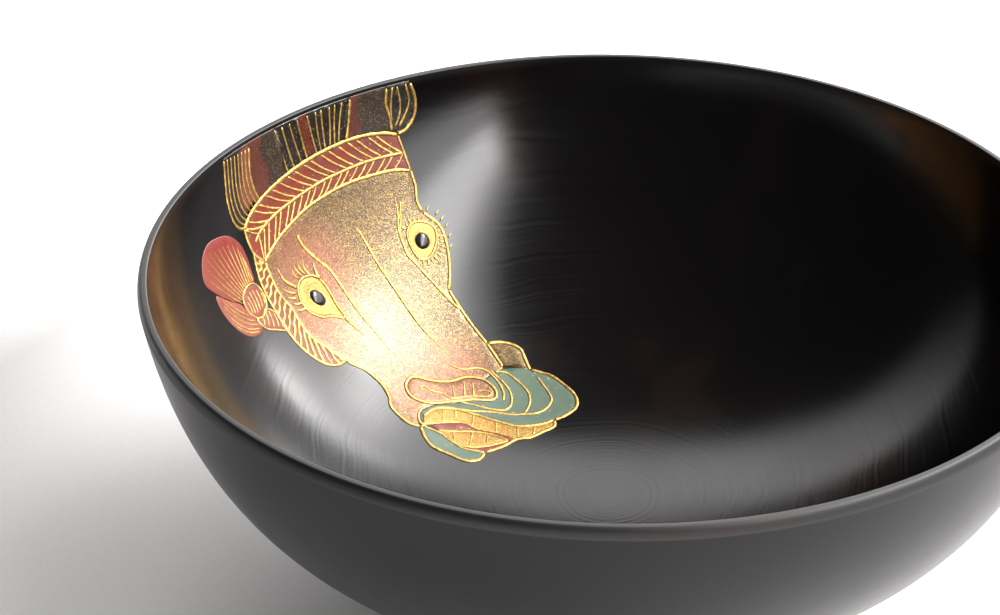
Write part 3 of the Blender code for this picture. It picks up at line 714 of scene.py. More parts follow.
def build_bowl():
    """Three coats of lacquer as smooth turned shells. The wood under them is the CAD's own."""
    seam = BOWL_HEIGHT - LIP_BAND
    outer_all = bezier(OUTER_WALL, 160)
    seam_point = [(float(np.interp(seam, outer_all[::-1, 1], outer_all[::-1, 0])), seam)]
    band = outer_all[outer_all[:, 1] > seam + 0.05]
    wall = outer_all[outer_all[:, 1] < seam - 0.2][::2]

    inner_face = np.concatenate([
        bezier(INNER_WALL, 84)[:-1], lip(0.0, 15), band[1:], seam_point,
    ])
    inner_back = np.concatenate([
        shifted(bezier(INNER_WALL, 40), -COAT)[:-1], lip(COAT, 7), [(seam_point[0][0] - COAT, seam)],
    ])
    turned("inner_coat", np.concatenate([inner_back, inner_face[::-1]]),
           black_lacquer(), ["inner_lacquer"])

    neck = spline([
        (NECK_RADIUS + 0.9, NECK_HEIGHT + 0.42), (NECK_RADIUS + 0.12, NECK_HEIGHT - 0.05),
        (NECK_RADIUS, NECK_HEIGHT - 0.6), (NECK_RADIUS + 0.1, 4.6), (FOOT_RADIUS - 0.3, 2.2),
    ], step=0.25)
    outer_face = np.concatenate([seam_point, wall[wall[:, 0] > NECK_RADIUS + 1.2], neck])
    outer_back = shifted(outer_face, -COAT)[::3]
    turned("outer_coat", np.concatenate([outer_face[::-1], outer_back]),
           satin_lacquer(), ["outer_lacquer"])

    foot_inner = FOOT_RADIUS - FOOT_WIDTH
    shoe = spline([
        (FOOT_RADIUS - 0.3, 2.2), (FOOT_RADIUS - 0.05, 1.3), (FOOT_RADIUS, 0.75), (FOOT_RADIUS - 0.1, 0.25),
        (FOOT_RADIUS - 0.45, 0.0),
    ], step=0.12)
    hollow = spline([
        (foot_inner + 0.4, 0.0), (foot_inner + 0.1, 0.25), (foot_inner, 0.8), (foot_inner - 0.2, 3.2),
        (foot_inner - 0.45, 4.5), (foot_inner - 1.3, RECESS_DEPTH),
    ], step=0.2)
    bottom = [(r, RECESS_DEPTH) for r in (15.0, 8.0, 0.0)]
    backing = [(0.0, RECESS_DEPTH + COAT), (foot_inner - 1.2, RECESS_DEPTH + COAT), (foot_inner + 0.3, 0.5),
               (FOOT_RADIUS - 0.6, 0.5)]
    turned("foot_coat", np.concatenate([shoe, hollow, bottom, backing])[::-1],
           satin_lacquer(), ["foot_lacquer", "recess_lacquer"])


# ---------------- the horse's head

# The curves that the fields and the gold lines share, in millimetres on the plan.
BAND_TOP = (
    (-59.9, 27.2), (-59.8, 30.0), (-58.9, 33.8), (-57.2, 38.0), (-54.8, 42.5),
    (-51.6, 47.1), (-47.8, 51.3), (-44.2, 54.3), (-40.8, 56.3), (-38.2, 57.2),
)
BAND_BOTTOM = (
    (-54.6, 25.6), (-54.0, 29.0), (-52.9, 32.8), (-50.6, 38.2), (-47.6, 42.8),
    (-44.4, 46.5), (-41.0, 49.4), (-37.4, 51.9), (-34.4, 53.1),
)
BAND_SPINE = (
    (-57.2, 27.0), (-57.0, 29.5), (-55.6, 33.5), (-53.8, 37.0), (-51.5, 40.8),
    (-48.9, 44.4), (-46.0, 47.6), (-43.0, 50.5), (-39.6, 53.1), (-36.4, 55.1),
)
BAND_RIGHT_END = ((-38.2, 57.2), (-36.6, 55.6), (-34.4, 53.1))
BAND_LEFT_END = ((-54.6, 25.6), (-56.6, 25.2), (-58.4, 26.0), (-59.9, 27.2))
BROW_SIDE = ((-34.4, 53.1), (-33.0, 51.2), (-32.3, 49.2), (-31.0, 47.8))
EYE_SIDE = ((-31.0, 47.8), (-28.0, 46.8), (-26.3, 44.4), (-25.2, 40.4), (-24.9, 37.0))
NOSE_SIDE = ((-24.9, 37.0), (-22.6, 34.2), (-20.4, 31.6), (-18.3, 29.3))
NOSE_FOLD = ((-18.3, 29.3), (-17.0, 27.5), (-15.7, 25.5))
NOSE_TIP = ((-18.3, 29.3), (-16.8, 29.9), (-15.0, 30.0), (-13.3, 29.3), (-12.6, 27.8), (-11.7, 25.7))
LIP_FRONT = (
    (-11.7, 25.7), (-10.0, 25.4), (-8.6, 25.0), (-6.8, 23.6),
    (-5.0, 21.5), (-4.8, 19.2), (-6.2, 17.4), (-7.8, 16.2),
)
GUM_FRONT = (
    (-7.8, 16.2), (-7.8, 14.8), (-9.4, 13.4), (-11.0, 12.0), (-12.8, 11.3), (-14.8, 9.2), (-17.1, 7.4),
)
CHIN = (
    (-17.1, 7.4), (-17.8, 5.6), (-19.6, 4.8), (-22.0, 5.5), (-24.4, 6.4), (-25.6, 8.0), (-26.4, 10.0),
)
JAW = (
    (-26.4, 10.0), (-28.4, 10.2), (-30.8, 12.2), (-31.4, 14.2), (-32.8, 16.2), (-35.4, 17.7), (-38.4, 17.8),
)
MUZZLE_EDGE = ((-15.6, 25.2), (-18.0, 22.6), (-21.0, 17.3), (-24.6, 15.4), (-26.7, 13.2))
MOUTH_CORNER = ((-26.7, 13.2), (-26.9, 11.6), (-26.4, 10.0))
CHEEK = (
    (-38.4, 17.8), (-41.6, 18.5), (-44.4, 18.9), (-46.6, 20.3), (-48.4, 21.7),
    (-51.0, 22.7), (-53.0, 24.3), (-54.6, 25.6),
)
ROPE_EDGE = (
    (-56.9, 25.2), (-56.2, 24.2), (-54.6, 22.2), (-52.6, 20.5), (-50.6, 19.1), (-48.0, 17.2),
    (-45.4, 15.9), (-42.0, 15.3), (-39.8, 16.1), (-38.4, 17.8),
)
LIP_LINE = (
    (-7.8, 16.2), (-10.0, 14.9), (-13.0, 14.1), (-16.0, 14.5),
    (-19.0, 15.1), (-22.0, 15.4), (-24.6, 14.6), (-26.2, 12.4),
)
BITE_LINE = (
    (-12.8, 11.3), (-15.6, 12.0), (-18.6, 12.2), (-20.6, 12.9), (-23.0, 12.2), (-25.4, 11.0), (-26.4, 10.0),
)
LOWER_BITE = ((-14.0, 10.7), (-16.4, 11.5), (-19.2, 11.4), (-22.0, 10.6), (-24.0, 10.2))
LOWER_GUM = ((-14.0, 10.7), (-16.6, 9.0), (-19.2, 8.0), (-21.6, 8.2), (-24.0, 10.2))
LOWER_LIP_TOP = ((-26.0, 10.2), (-24.0, 9.8), (-22.0, 8.8), (-20.4, 7.5), (-17.1, 7.4))
LEFT_LOCK = ((-69.0, 32.0), (-67.5, 30.6), (-65.0, 28.0), (-62.7, 26.5), (-61.0, 26.4), (-59.9, 27.4))
LEFT_LOCK_INNER = ((-65.1, 38.3), (-62.9, 35.6), (-61.2, 34.3), (-59.0, 33.5))
RIGHT_LOCK = ((-38.6, 65.1), (-36.9, 63.6), (-36.2, 61.2), (-36.9, 58.8), (-38.3, 57.2))
RIGHT_LOCK_INNER = ((-43.0, 62.9), (-42.1, 60.6), (-40.7, 59.2), (-39.4, 57.2))
TASSEL_LOBE = (
    (-55.3, 20.9), (-56.6, 22.6), (-57.8, 23.7), (-59.8, 24.5), (-62.3, 23.6), (-64.4, 20.9), (-65.7, 17.6),
    (-65.4, 14.2), (-63.6, 11.5), (-61.2, 12.2), (-58.8, 13.6), (-57.0, 14.9), (-56.4, 16.4), (-56.4, 18.7),
)
TASSEL_SMALL_LOBE = (
    (-55.0, 15.2), (-56.4, 15.2), (-57.2, 14.7), (-58.8, 13.5), (-60.9, 12.1), (-60.4, 11.2), (-58.6, 10.3),
    (-55.8, 10.1), (-53.4, 11.1), (-52.0, 13.2), (-52.0, 14.7), (-53.4, 15.1),
)
KNOT = (
    (-56.4, 18.6), (-55.4, 20.6), (-53.6, 20.6), (-52.4, 19.2),
    (-52.2, 17.0), (-53.2, 15.4), (-55.0, 15.2), (-56.3, 16.4),
)
STRAP = (
    (-52.3, 18.2), (-50.8, 18.9), (-49.6, 18.5), (-48.2, 17.4),
    (-49.8, 16.0), (-51.4, 14.9), (-53.1, 15.2), (-52.3, 16.6),
)
LEFT_EYE = (
    (-48.2, 26.4), (-47.4, 28.4), (-45.6, 29.5), (-43.6, 28.8), (-41.6, 27.0), (-39.9, 25.5),
    (-41.8, 24.6), (-43.4, 23.4), (-45.6, 23.1), (-47.5, 24.3),
)
LEFT_PUPIL = (-44.7, 26.2)
RIGHT_EYE = (-30.2, 43.4)
RIGHT_LID = (
    (-32.8, 43.6), (-32.4, 45.4), (-30.6, 46.4), (-28.8, 46.2), (-28.0, 44.9),
    (-28.0, 43.0), (-28.6, 41.3), (-29.8, 40.5), (-31.0, 41.0), (-32.2, 42.4),
)
NOSTRIL = (
    (-29.3, 17.6), (-28.4, 19.6), (-25.6, 19.9), (-23.0, 20.7), (-20.6, 22.3), (-18.0, 22.2),
    (-16.4, 20.6), (-16.6, 18.8), (-19.6, 18.0), (-22.4, 16.8), (-25.4, 15.4), (-28.2, 15.6),
)

# The stripes between the two forelocks, each from the browband to the rim.
STRIPES = (
    ((-55.6, 41.2), (-61.6, 44.7)), ((-54.8, 42.6), (-60.5, 46.1)), ((-53.8, 44.2), (-59.3, 47.6)),
    ((-53.0, 45.3), (-58.0, 49.1)), ((-51.6, 47.1), (-56.4, 50.9)), ((-51.0, 47.9), (-55.0, 52.4)),
    ((-50.4, 48.7), (-54.1, 53.3)), ((-49.7, 49.5), (-52.7, 54.7)), ((-49.0, 50.3), (-51.8, 55.6)),
    ((-48.4, 50.9), (-50.6, 56.7)), ((-47.2, 52.0), (-49.2, 57.9)),
)


def build_mane_fields():
    """The grounds of the mane: two forelocks, the striped part between them, and the locks at the sides."""
    panel = (mane_panel(), "russet_lacquer")
    black = (mane_black(), "mane_lacquer")

    def rim(near, far):
        return [on_rim(*(np.array(near) * (1 - s) + np.array(far) * s)) for s in np.linspace(0, 1, 16)]

    top = spline(BAND_TOP)
    left, first, last = (
        int(np.argmin(np.linalg.norm(top - foot, axis=1)))
        for foot in (LEFT_LOCK_INNER[-1], STRIPES[0][0], STRIPES[-1][0])
    )
    left_tip, right_tip = STRIPES[0][1], STRIPES[-1][1]
    paint("forelock_left_field", outline(
        top[left + 2:first + 1], rim(LEFT_LOCK_INNER[0], left_tip)[::-1], LEFT_LOCK_INNER), *panel)
    paint("mane_field", outline(top[first:last + 1], rim(left_tip, right_tip)[::-1]), *black)
    paint("forelock_right_field", outline(
        top[last:-4], RIGHT_LOCK_INNER[::-1], rim(right_tip, RIGHT_LOCK_INNER[0])[::-1]), *panel)
    paint("left_lock_field", outline(
        LEFT_LOCK, [(-60.5, 30.0), (-60.0, 32.6)], LEFT_LOCK_INNER[::-1],
        rim(LEFT_LOCK_INNER[0], LEFT_LOCK[0])), lock_ground(), "mane_lacquer")
    paint("right_lock_field", outline(
        RIGHT_LOCK, RIGHT_LOCK_INNER[::-1], rim(RIGHT_LOCK_INNER[0], RIGHT_LOCK[0])), *black)


def build_fields():
    """The coloured fields, under the gold lines."""
    face = (dusted_face(), "gold_dusted_lacquer")
    gold = (gold_field(), "gold_leaf_field")
    coral = (coral_lacquer(), "coral_lacquer")
    gloss = (pupil_lacquer(), "pupil_lacquer")
    red = (coloured("red_lacquer", BAND_RED, BAND_RED_DEEP, RED_SPECKS, 0.05), "red_lacquer")
    green = (coloured("green_lacquer", LIP_GREEN, LIP_GREEN_DEEP, GREEN_SPECKS, 0.03), "green_lacquer")
    left_pupil = ellipse(LEFT_PUPIL, 1.4, 1.2)
    right_pupil = ellipse(RIGHT_EYE, 1.2, 1.3)

    build_mane_fields()
    for node, finish, shape in (
        ("browband_field", red, outline(BAND_TOP, BAND_RIGHT_END, BAND_BOTTOM[::-1], BAND_LEFT_END)),
        ("face_field", face, outline(
            BAND_BOTTOM, BROW_SIDE, EYE_SIDE, NOSE_SIDE, NOSE_FOLD, MUZZLE_EDGE, MOUTH_CORNER, JAW, CHEEK)),
        ("nose_tip_field", face, outline(NOSE_TIP, NOSE_FOLD[::-1])),
        ("cheek_rope_field", red, outline(ROPE_EDGE, CHEEK)),
        ("tassel_field", coral, spline(TASSEL_LOBE, closed=True)),
        ("small_tassel_field", coral, spline(TASSEL_SMALL_LOBE, closed=True)),
        ("tassel_knot", coral, spline(KNOT, closed=True)),
        ("tassel_strap", coral, spline(STRAP, closed=True)),
        ("upper_lip_field", green, outline(
            LIP_FRONT, LIP_LINE, MUZZLE_EDGE[::-1], [(-15.4, 25.2), (-13.0, 26.0)])),
        ("upper_teeth", gold, outline(GUM_FRONT[:5], BITE_LINE, [(-26.2, 11.8)], LIP_LINE[::-1])),
        ("lower_teeth", gold, outline(LOWER_BITE, LOWER_GUM[::-1])),
        ("mouth_field", red, outline(BITE_LINE[:-1], LOWER_BITE[::-1])),
        ("gum_field", red, outline(GUM_FRONT[4:], [(-20.4, 7.6)], LOWER_GUM[-2::-1])),
        ("lower_lip_field", green, outline(CHIN, LOWER_LIP_TOP)),
    ):
        paint(node, shape, *finish)
    for node, loop, margin, pupil in (("left_eye", LEFT_EYE, 0.2, left_pupil),
                                      ("right_eye", RIGHT_LID, 0.1, right_pupil)):
        paint(node, inset(spline(loop, closed=True), margin), *gold, holes=[pupil], base=ON_FACE)
    for node, dome in (("left_pupil", left_pupil), ("right_pupil", right_pupil)):
        paint(node, dome, *gloss, base=ON_FACE, rise=PUPIL_RISE, soft=PUPIL_ROUND, step=PUPIL_STEP)
    paint("nostril_field", inset(spline(NOSTRIL, closed=True), 0.2), *face, base=ON_FACE)


def raised(strokes):
    """The same strokes, lifted onto a field that itself lies on the face."""
    return [{**stroke, "base": ON_FACE + PAINT_RISE} for stroke in strokes]


def mane_strokes():
    """The browband's upper edge, the stripes that fan to the rim, and the lines of the two locks."""
    strokes = [line(BAND_TOP, 0.66), line(BAND_RIGHT_END, 0.5)]
    for order, (foot, tip) in enumerate(STRIPES):
        foot, tip = np.array(foot), on_rim(*tip, edge=STRIPE_EDGE)
        sway = np.array((0.22, -0.12)) * math.sin(1.9 * order + 1.0)
        width = 0.66 if order == len(STRIPES) - 1 else 0.4 + 0.05 * math.sin(2.3 * order)
        strokes.append(line((foot, 0.5 * (foot + tip) + sway, tip), width))
    for share in np.linspace(0, 1, 8):
        width = 0.5 if share in (0, 1) else 0.36
        strokes.append(line(between(spline(LEFT_LOCK), spline(LEFT_LOCK_INNER), share), width))
    for width, points in (
        (0.66, RIGHT_LOCK_INNER),
        (0.46, ((-41.9, 63.5), (-41.3, 61.6), (-40.6, 59.8), (-39.9, 58.6))),
        (0.44, ((-41.1, 64.0), (-39.5, 62.0), (-38.9, 60.0), (-39.1, 58.0))),
        (0.50, ((-39.6, 65.0), (-37.9, 62.8), (-37.9, 60.6), (-38.4, 58.4))),
        (0.70, RIGHT_LOCK),
    ):
        strokes.append(line((on_rim(*points[0], edge=STRIPE_EDGE), *points[1:]), width))
    return strokes


def braid_strokes():
    """The browband's spine, and the slanted strokes on both sides of it."""
    strokes = [line(BAND_SPINE, 0.5)]
    middle = spline(BAND_SPINE)
    for edge, count, lag, width in ((BAND_TOP, 19, 0.115, 0.42), (BAND_BOTTOM, 20, 0.095, 0.36)):
        shares = np.linspace(0.05, 1.0, count) + 0.006 * np.sin(2.7 * np.arange(count))
        near = along_curve(middle, np.clip(shares, 0.0, 1.0))
        far = along_curve(spline(edge), np.clip(shares - lag, 0.0, 1.0))
        for a, b in zip(near, far):
            bow = 0.5 * (a + b) + (0.12, -0.12)
            strokes.append(line((a, bow, a + (b - a) * 0.95), width, tail=0.12))
    return strokes


def rope_strokes():
    """The cheek rope's outer edge, and the strands twisted round it."""
    strokes = [line(ROPE_EDGE, 0.46)]
    shares = np.linspace(0.06, 1.0, 17)
    outer = along_curve(spline(ROPE_EDGE), shares)
    inner = along_curve(spline(CHEEK[::-1]), np.clip(shares - 0.13, 0.0, 1.0))
    for order, (a, b) in enumerate(zip(outer, inner)):
        middle = 0.5 * (a + b)
        width = 0.5 + 0.06 * math.sin(2.1 * order)
        strokes.append(line((a, middle + (0.16, -0.3), middle + (-0.16, 0.3), b), width))
    return strokes


def tassel_strokes():
    """The rims and hatching of the knot and the strap, and the veins that run over both lobes."""
    strokes = [line(KNOT, 0.36, closed=True), line(STRAP, 0.34, closed=True)]
    heads = ((-58.5, 22.9), (-59.3, 23.3), (-60.2, 23.4), (-61.1, 22.9), (-61.9, 21.9), (-62.7, 20.9),
             (-63.4, 19.7), (-64.1, 18.4), (-64.7, 17.1), (-64.7, 15.7), (-63.9, 14.3), (-62.9, 13.1))
    knot_side = spline(((-55.5, 20.8), (-56.3, 19.2), (-56.4, 17.4), (-56.1, 15.6)))
    roots = along_curve(knot_side, np.linspace(0, 1, len(heads)))
    for order, (head, root) in enumerate(zip(heads, roots)):
        bow = 0.5 * (root + head) + (-0.10 + 0.02 * order, 0.28 - 0.03 * order)
        strokes.append(line((root, bow, head), 0.24, tail=0.3))
    strokes += [line(points, 0.24, tail=0.3) for points in (
        ((-54.6, 14.5), (-57.0, 13.5), (-59.2, 13.1)),
        ((-53.3, 14.7), (-54.6, 13.7), (-57.1, 12.7), (-59.4, 12.5)),
        ((-52.6, 14.6), (-54.5, 12.9), (-57.2, 11.9), (-59.2, 11.8)),
        ((-52.3, 14.0), (-54.0, 12.2), (-56.2, 11.2), (-58.2, 11.1)),
        ((-52.3, 13.4), (-53.4, 12.0), (-55.0, 10.9), (-56.8, 10.6)),
    )]
    strokes += [line((start, 0.5 * np.add(start, end) + (0.12, 0.14), end), 0.24) for start, end in (
        ((-55.5, 16.6), (-54.1, 15.5)), ((-55.8, 17.6), (-53.6, 15.9)), ((-55.7, 18.6), (-53.2, 16.4)),
        ((-55.3, 19.3), (-53.0, 17.2)), ((-54.7, 20.0), (-52.8, 18.0)), ((-53.9, 20.3), (-52.6, 18.9)),
        ((-52.6, 16.4), (-51.7, 15.2)), ((-52.2, 17.6), (-51.0, 15.6)), ((-51.8, 18.3), (-50.2, 16.2)),
        ((-50.9, 18.6), (-49.5, 16.8)), ((-50.0, 18.5), (-48.8, 17.3)),
    )]
    return strokes


def outline_strokes():
    """The contour of the head, with the browband's lower edge and the line of the upper lip."""
    strokes = [line(curve) for curve in (BAND_BOTTOM, BROW_SIDE, EYE_SIDE, NOSE_SIDE, NOSE_FOLD, NOSE_TIP,
                                         LIP_FRONT, GUM_FRONT, CHIN, JAW, CHEEK, BAND_LEFT_END)]
    strokes += [line(curve, width) for curve, width in (
        (LIP_LINE, 0.5), (((-26.5, 14.0), (-26.9, 12.6), (-26.6, 11.0), (-25.5, 10.2)), 0.4),
        (BITE_LINE, 0.36), (LOWER_BITE, 0.36), (LOWER_GUM, 0.36), (LOWER_LIP_TOP, 0.42),
    )]
    strokes += [line(tooth_side, 0.3) for tooth_side in (
        ((-23.6, 15.0), (-23.4, 12.3)), ((-21.8, 15.3), (-21.6, 12.7)), ((-19.2, 15.0), (-19.2, 12.3)),
        ((-16.0, 14.4), (-15.8, 12.0)), ((-12.9, 14.0), (-12.7, 11.5)), ((-10.4, 14.6), (-10.6, 12.6)),
        ((-21.8, 10.6), (-21.4, 8.4)), ((-19.1, 11.4), (-19.3, 8.2)), ((-16.9, 11.3), (-17.0, 8.9)),
    )]
    return strokes


def left_eye_strokes():
    """The rim of the left eye, its tail, its lashes and the fine lines under it."""
    strokes = [
        line(LEFT_EYE, 0.36, closed=True),
        line(ellipse(LEFT_PUPIL, 1.5, 1.3, 14), 0.2, closed=True),
        line((LEFT_EYE[5], (-38.2, 24.7), (-36.5, 24.0)), 0.4, tail=0.5),
        line(((-47.0, 27.0), (-45.5, 28.6), (-43.6, 28.0), (-41.9, 26.3), (-40.6, 25.4)), 0.26, tail=0.3),
        line(((-48.2, 25.6), (-50.6, 25.3), (-52.4, 26.3)), 0.62, tail=0.7),
    ]
    strokes += [line(points, width, tail=0.8) for width, points in (
        (0.50, ((-48.1, 24.6), (-49.4, 23.9), (-50.7, 23.6))),
        (0.46, ((-47.9, 23.9), (-48.7, 23.2), (-49.5, 22.9))),
        (0.46, ((-46.9, 23.7), (-47.6, 22.9), (-48.4, 22.6))),
        (0.46, ((-46.1, 23.3), (-46.7, 22.4), (-47.5, 21.9))),
        (0.40, ((-48.4, 27.2), (-49.3, 27.3), (-50.0, 27.8))),
        (0.40, ((-47.9, 28.1), (-49.0, 28.2), (-49.9, 28.8))),
        (0.42, ((-47.4, 28.6), (-48.6, 28.9), (-49.5, 29.6))),
        (0.42, ((-46.7, 29.0), (-47.9, 29.5), (-48.6, 30.4))),
        (0.80, ((-45.0, 29.4), (-45.9, 30.1), (-46.9, 31.4))),
    )]
    return raised(strokes)


def right_eye_strokes():
    """The ring of the right eye, the lashes all round it and the fold beside it."""
    strokes = [
        line(RIGHT_LID, 0.4, closed=True),
        line(ellipse(RIGHT_EYE, 1.32, 1.42, 12), 0.16, closed=True),
    ]
    start = 2.9
    for step in range(22):
        turn = math.radians(-120 + step * 13.5)
        ray = np.array((math.cos(turn), math.sin(turn)))
        bend = np.array((-ray[1], ray[0])) * 0.22
        reach = 4.0 + 0.3 * math.sin(2.4 * step)
        middle = RIGHT_EYE + ray * 0.5 * (start + reach) + bend
        strokes.append(line((RIGHT_EYE + ray * start, middle, RIGHT_EYE + ray * reach), 0.3, tail=0.4))
    strokes += [line(lash, 0.28, tail=0.5) for lash in (
        ((-30.4, 48.1), (-30.2, 49.2)), ((-28.8, 48.0), (-28.5, 49.0)), ((-27.9, 47.4), (-27.4, 48.5)),
        ((-26.9, 46.7), (-26.5, 47.8)), ((-26.2, 45.3), (-25.7, 46.3)), ((-25.8, 43.7), (-25.3, 44.6)),
    )]
    strokes += [line(fold, 0.34, tail=0.3) for fold in (
        ((-35.0, 48.0), (-34.6, 46.0), (-34.8, 44.4)), ((-34.4, 46.2), (-33.9, 43.1), (-32.9, 41.2)),
        ((-33.2, 42.0), (-32.2, 40.4), (-30.8, 39.6), (-29.6, 38.8)),
    )]
    return raised(strokes)


def nostril_strokes():
    """The rim of the nostril, the curl inside it and the short strokes across."""
    strokes = [line(NOSTRIL, 0.5, closed=True), line((
        (-26.6, 17.3), (-27.2, 18.0), (-26.6, 18.5), (-25.9, 18.0), (-24.0, 17.9), (-22.5, 17.4),
        (-20.0, 18.6), (-17.5, 19.2), (-17.0, 20.0), (-18.0, 20.3), (-19.2, 19.9)), 0.32)]
    strokes += [line(across, 0.3) for across in (
        ((-22.7, 20.2), (-22.0, 17.3)), ((-21.1, 21.2), (-20.7, 18.4)), ((-19.8, 21.4), (-19.4, 18.6)),
    )]
    return raised(strokes)


def build_lines():
    """The raised gold lines, drawn last."""
    gold = gold_line()

    def gild(node, strokes):
        draw(node, strokes, gold)

    gild("mane_goldwork", mane_strokes())
    gild("browband_braid", braid_strokes())
    gild("head_outline", outline_strokes())
    gild("cheek_rope_goldwork", rope_strokes())
    gild("tassel_goldwork", tassel_strokes())
    gild("brow_line", [line((
        (-50.7, 33.8), (-49.0, 32.8), (-46.5, 32.3), (-44.0, 32.0), (-41.5, 30.5), (-38.0, 27.7),
        (-34.5, 25.0), (-31.5, 22.5)), 0.62, tail=0.5)])
    gild("forehead_line", [line((
        (-41.2, 40.9), (-39.0, 39.2), (-36.5, 37.0), (-33.0, 34.0), (-30.0, 31.0), (-27.0, 28.2),
        (-22.5, 25.2)), 0.56, head=0.08, tail=0.4)])
    gild("nose_line", [line((
        (-36.0, 48.2), (-35.0, 46.2), (-34.2, 43.5), (-32.6, 41.2), (-30.5, 39.5), (-27.5, 37.5),
        (-24.5, 35.3), (-22.8, 34.2)), 0.52, head=0.15)])
    gild("left_eye_rim", left_eye_strokes())
    gild("right_eye_rim", right_eye_strokes())
    gild("nostril_line", nostril_strokes())
    gild("lip_arcs", [
        line(((-24.1, 24.2), (-22.5, 23.6), (-21.0, 23.7), (-19.5, 24.4), (-18.0, 24.2), (-16.8, 23.2),
              (-15.8, 21.8), (-15.2, 20.3), (-15.2, 18.8)), 0.44, head=0.15),
        line(((-17.3, 24.2), (-15.5, 22.6), (-14.4, 21.0), (-14.0, 19.3), (-14.2, 17.8), (-15.1, 17.0),
              (-17.0, 16.8), (-22.0, 17.2)), 0.42),
    ])
    gild("lip_middle_arc", [line((
        (-17.0, 24.4), (-15.0, 24.4), (-13.0, 22.8), (-11.8, 21.3), (-11.4, 19.8), (-11.6, 18.2),
        (-12.1, 16.8)), 0.42)])
    gild("lip_front_arc", [line((
        (-10.7, 24.6), (-9.5, 22.8), (-8.5, 21.0), (-8.4, 19.8), (-9.2, 18.2), (-10.5, 17.2), (-12.0, 16.8),
        (-14.0, 16.3), (-17.0, 16.2), (-19.5, 15.7), (-22.0, 15.5)), 0.42)])


# ---------------- studio

# Soft light from flat panels: the azimuth a panel faces from, then where it fades in and out, first along
# the horizon in degrees and then in height over distance, and its strength. Azimuth 0 is +Y, 90 is +X.
LIGHTS = (
    (74, (20, 40, 143, 151), (0.75, 1.12, 1.55, 2.30), 9.5),
    (74, (8, 38, 144, 152), (0.10, 0.55, 2.00, 3.30), 4.2),
    (0, (-68, 6, 30, 60), (-0.30, 0.05, 0.84, 1.18), 3.0),
    (10, (12, 24, 38, 50), (0.02, 0.14, 0.40, 0.66), 9.0),
    (58, (40, 50, 68, 84), (0.88, 1.00, 1.20, 1.45), 24.0),
)
ROOM = 0.05
BELOW = 3.5
BELOW_DEPTH = -0.9
BACKDROP = 1.0
WINDOW_TINT = (1.0, 0.99, 0.985)
WHITE = (1.0, 1.0, 1.0)

# The floor: a flat ring in metres, with painted shade that makes it grey at its near left side, and pale
# towards +X and +Y.
FLOOR_REACH = 4.0
FLOOR_HOLE = 0.021
FLOOR_SIDES = 64
FLOOR_SHADE = (-0.105, -0.055)
FLOOR_FADE = (0.03, 0.11)
# Painted shade: the grey that the floor's colour turns to at its near left side.
FLOOR_PAINTED_SHADE_GREY = (0.275, 0.268, 0.265)
FLOOR_PALE = (0.76, 0.75, 0.745)


def build_world():
    """A dark room, lit by a window at the right and a pale wall. The camera sees a plain backdrop."""
    world = bpy.data.worlds.new("studio")
    world.use_nodes = True
    nodes = Nodes(world.node_tree)
    nodes.tree.nodes.clear()

    def fade(value, ramp):
        return nodes.times(nodes.ramp(value, *ramp[:2]), nodes.ramp(value, *ramp[:1:-1]))

    direction = nodes.add("TexCoord", {}).outputs["Generated"]
    x, y, z = nodes.add("SeparateXYZ", {"Vector": direction}).outputs
    azimuth = nodes.math("DEGREES", nodes.math("ARCTAN2", x, y))
    below = nodes.times(nodes.ramp(z, 0.0, BELOW_DEPTH), BELOW)
    total = nodes.plus(below, ROOM)
    for facing, sides, heights, strength in LIGHTS:
        across = nodes.times(x, math.sin(math.radians(facing)))
        along = nodes.times(y, math.cos(math.radians(facing)))
        distance = nodes.math("MAXIMUM", nodes.plus(across, along), 0.001)
        height = nodes.math("DIVIDE", z, distance)
        lit = nodes.times(fade(azimuth, sides), fade(height, heights))
        total = nodes.plus(total, nodes.times(lit, strength))
    studio = nodes.add("Background", {"Color": WINDOW_TINT, "Strength": total}).outputs[0]
    plain = nodes.add("Background", {"Color": WHITE, "Strength": BACKDROP}).outputs[0]
    seen = nodes.add("LightPath", {}).outputs["Is Camera Ray"]
    shown = nodes.add("MixShader", {0: seen, 1: studio, 2: plain}).outputs[0]
    nodes.add("OutputWorld", {"Surface": shown})
    bpy.context.scene.world = world


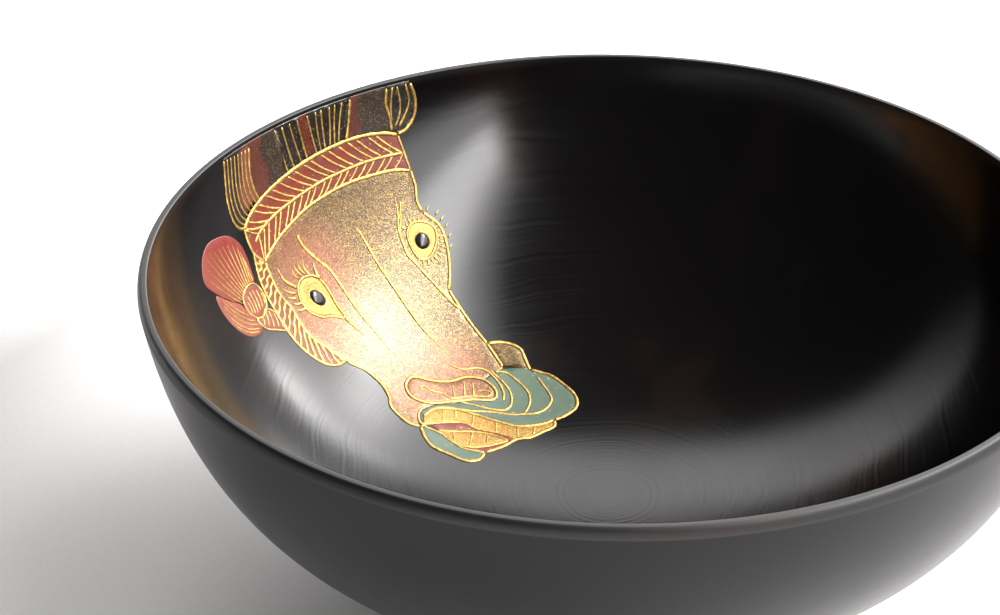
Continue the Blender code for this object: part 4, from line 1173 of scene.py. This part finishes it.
def build_floor():
    """A pale floor, with painted shade greying it towards the near left, clear from below and open inside
    the foot ring.
    """
    turns = np.linspace(0, 2 * math.pi, FLOOR_SIDES, endpoint=False)
    around = np.column_stack([np.cos(turns), np.sin(turns), np.zeros(FLOOR_SIDES)])
    faces = []
    for i in range(FLOOR_SIDES):
        j = (i + 1) % FLOOR_SIDES
        faces.append((i, i + FLOOR_SIDES, j + FLOOR_SIDES, j))
    mesh = bpy.data.meshes.new("floor")
    mesh.from_pydata(np.concatenate([around * FLOOR_HOLE, around * FLOOR_REACH]).tolist(), [], faces)
    floor = bpy.data.objects.new("floor", mesh)
    bpy.context.scene.collection.objects.link(floor)
    shader = Shader("floor_paper", Roughness=0.8)
    surface = shader.add("NewGeometry", {}).outputs
    where = shader.add("SeparateXYZ", {"Vector": surface["Position"]}).outputs
    # Painted shade: the floor's colour goes grey towards -X near the camera, and stays pale towards +X and
    # +Y.
    right = shader.ramp(where["X"], *FLOOR_SHADE)
    tone = shader.math("MAXIMUM", right, shader.ramp(where["Y"], *FLOOR_FADE))
    grain = shader.spread(shader.noise(0.8, 3.0), 0.97, 1.0)
    shader.colour(shader.mix(grain, (0.0, 0.0, 0.0), shader.mix(tone, FLOOR_PAINTED_SHADE_GREY, FLOOR_PALE)))
    clear = shader.add("BsdfTransparent", {}).outputs[0]
    sides = shader.add("MixShader", {0: surface["Backfacing"], 1: shader.bsdf.outputs[0], 2: clear})
    shader.feed(shader.tree.nodes["Material Output"].inputs["Surface"], sides.outputs[0])
    mesh.materials.append(shader.material)


def build_camera():
    """The camera, off the axis of the middle of the rim by a small pan and tilt."""
    data = bpy.data.cameras.new("camera")
    data.lens = CAMERA_LENS
    data.clip_start = 0.01
    camera = bpy.data.objects.new("camera", data)
    bpy.context.scene.collection.objects.link(camera)
    back = Vector((0.0, -math.cos(CAMERA_ELEVATION), math.sin(CAMERA_ELEVATION)))
    up = Vector((0.0, math.sin(CAMERA_ELEVATION), math.cos(CAMERA_ELEVATION)))
    facing = Matrix((Vector((1.0, 0.0, 0.0)), up, back)).transposed()
    facing = facing @ Matrix.Rotation(CAMERA_PAN, 3, "Y") @ Matrix.Rotation(CAMERA_TILT, 3, "X")
    facing = facing @ Matrix.Rotation(CAMERA_ROLL, 3, "Z")
    place = Vector((0.0, 0.0, BOWL_HEIGHT * MM)) + back * CAMERA_DISTANCE * RIM_RADIUS * MM
    camera.matrix_world = Matrix.Translation(place) @ facing.to_4x4()
    bpy.context.scene.camera = camera


build_camera()
build_world()
build_floor()
build_bowl()
build_fields()
build_lines()
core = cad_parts["wooden_core"]
core.data.materials.clear()
core.data.materials.append(turned_wood())
bpy.context.scene.view_settings.view_transform = "Standard"
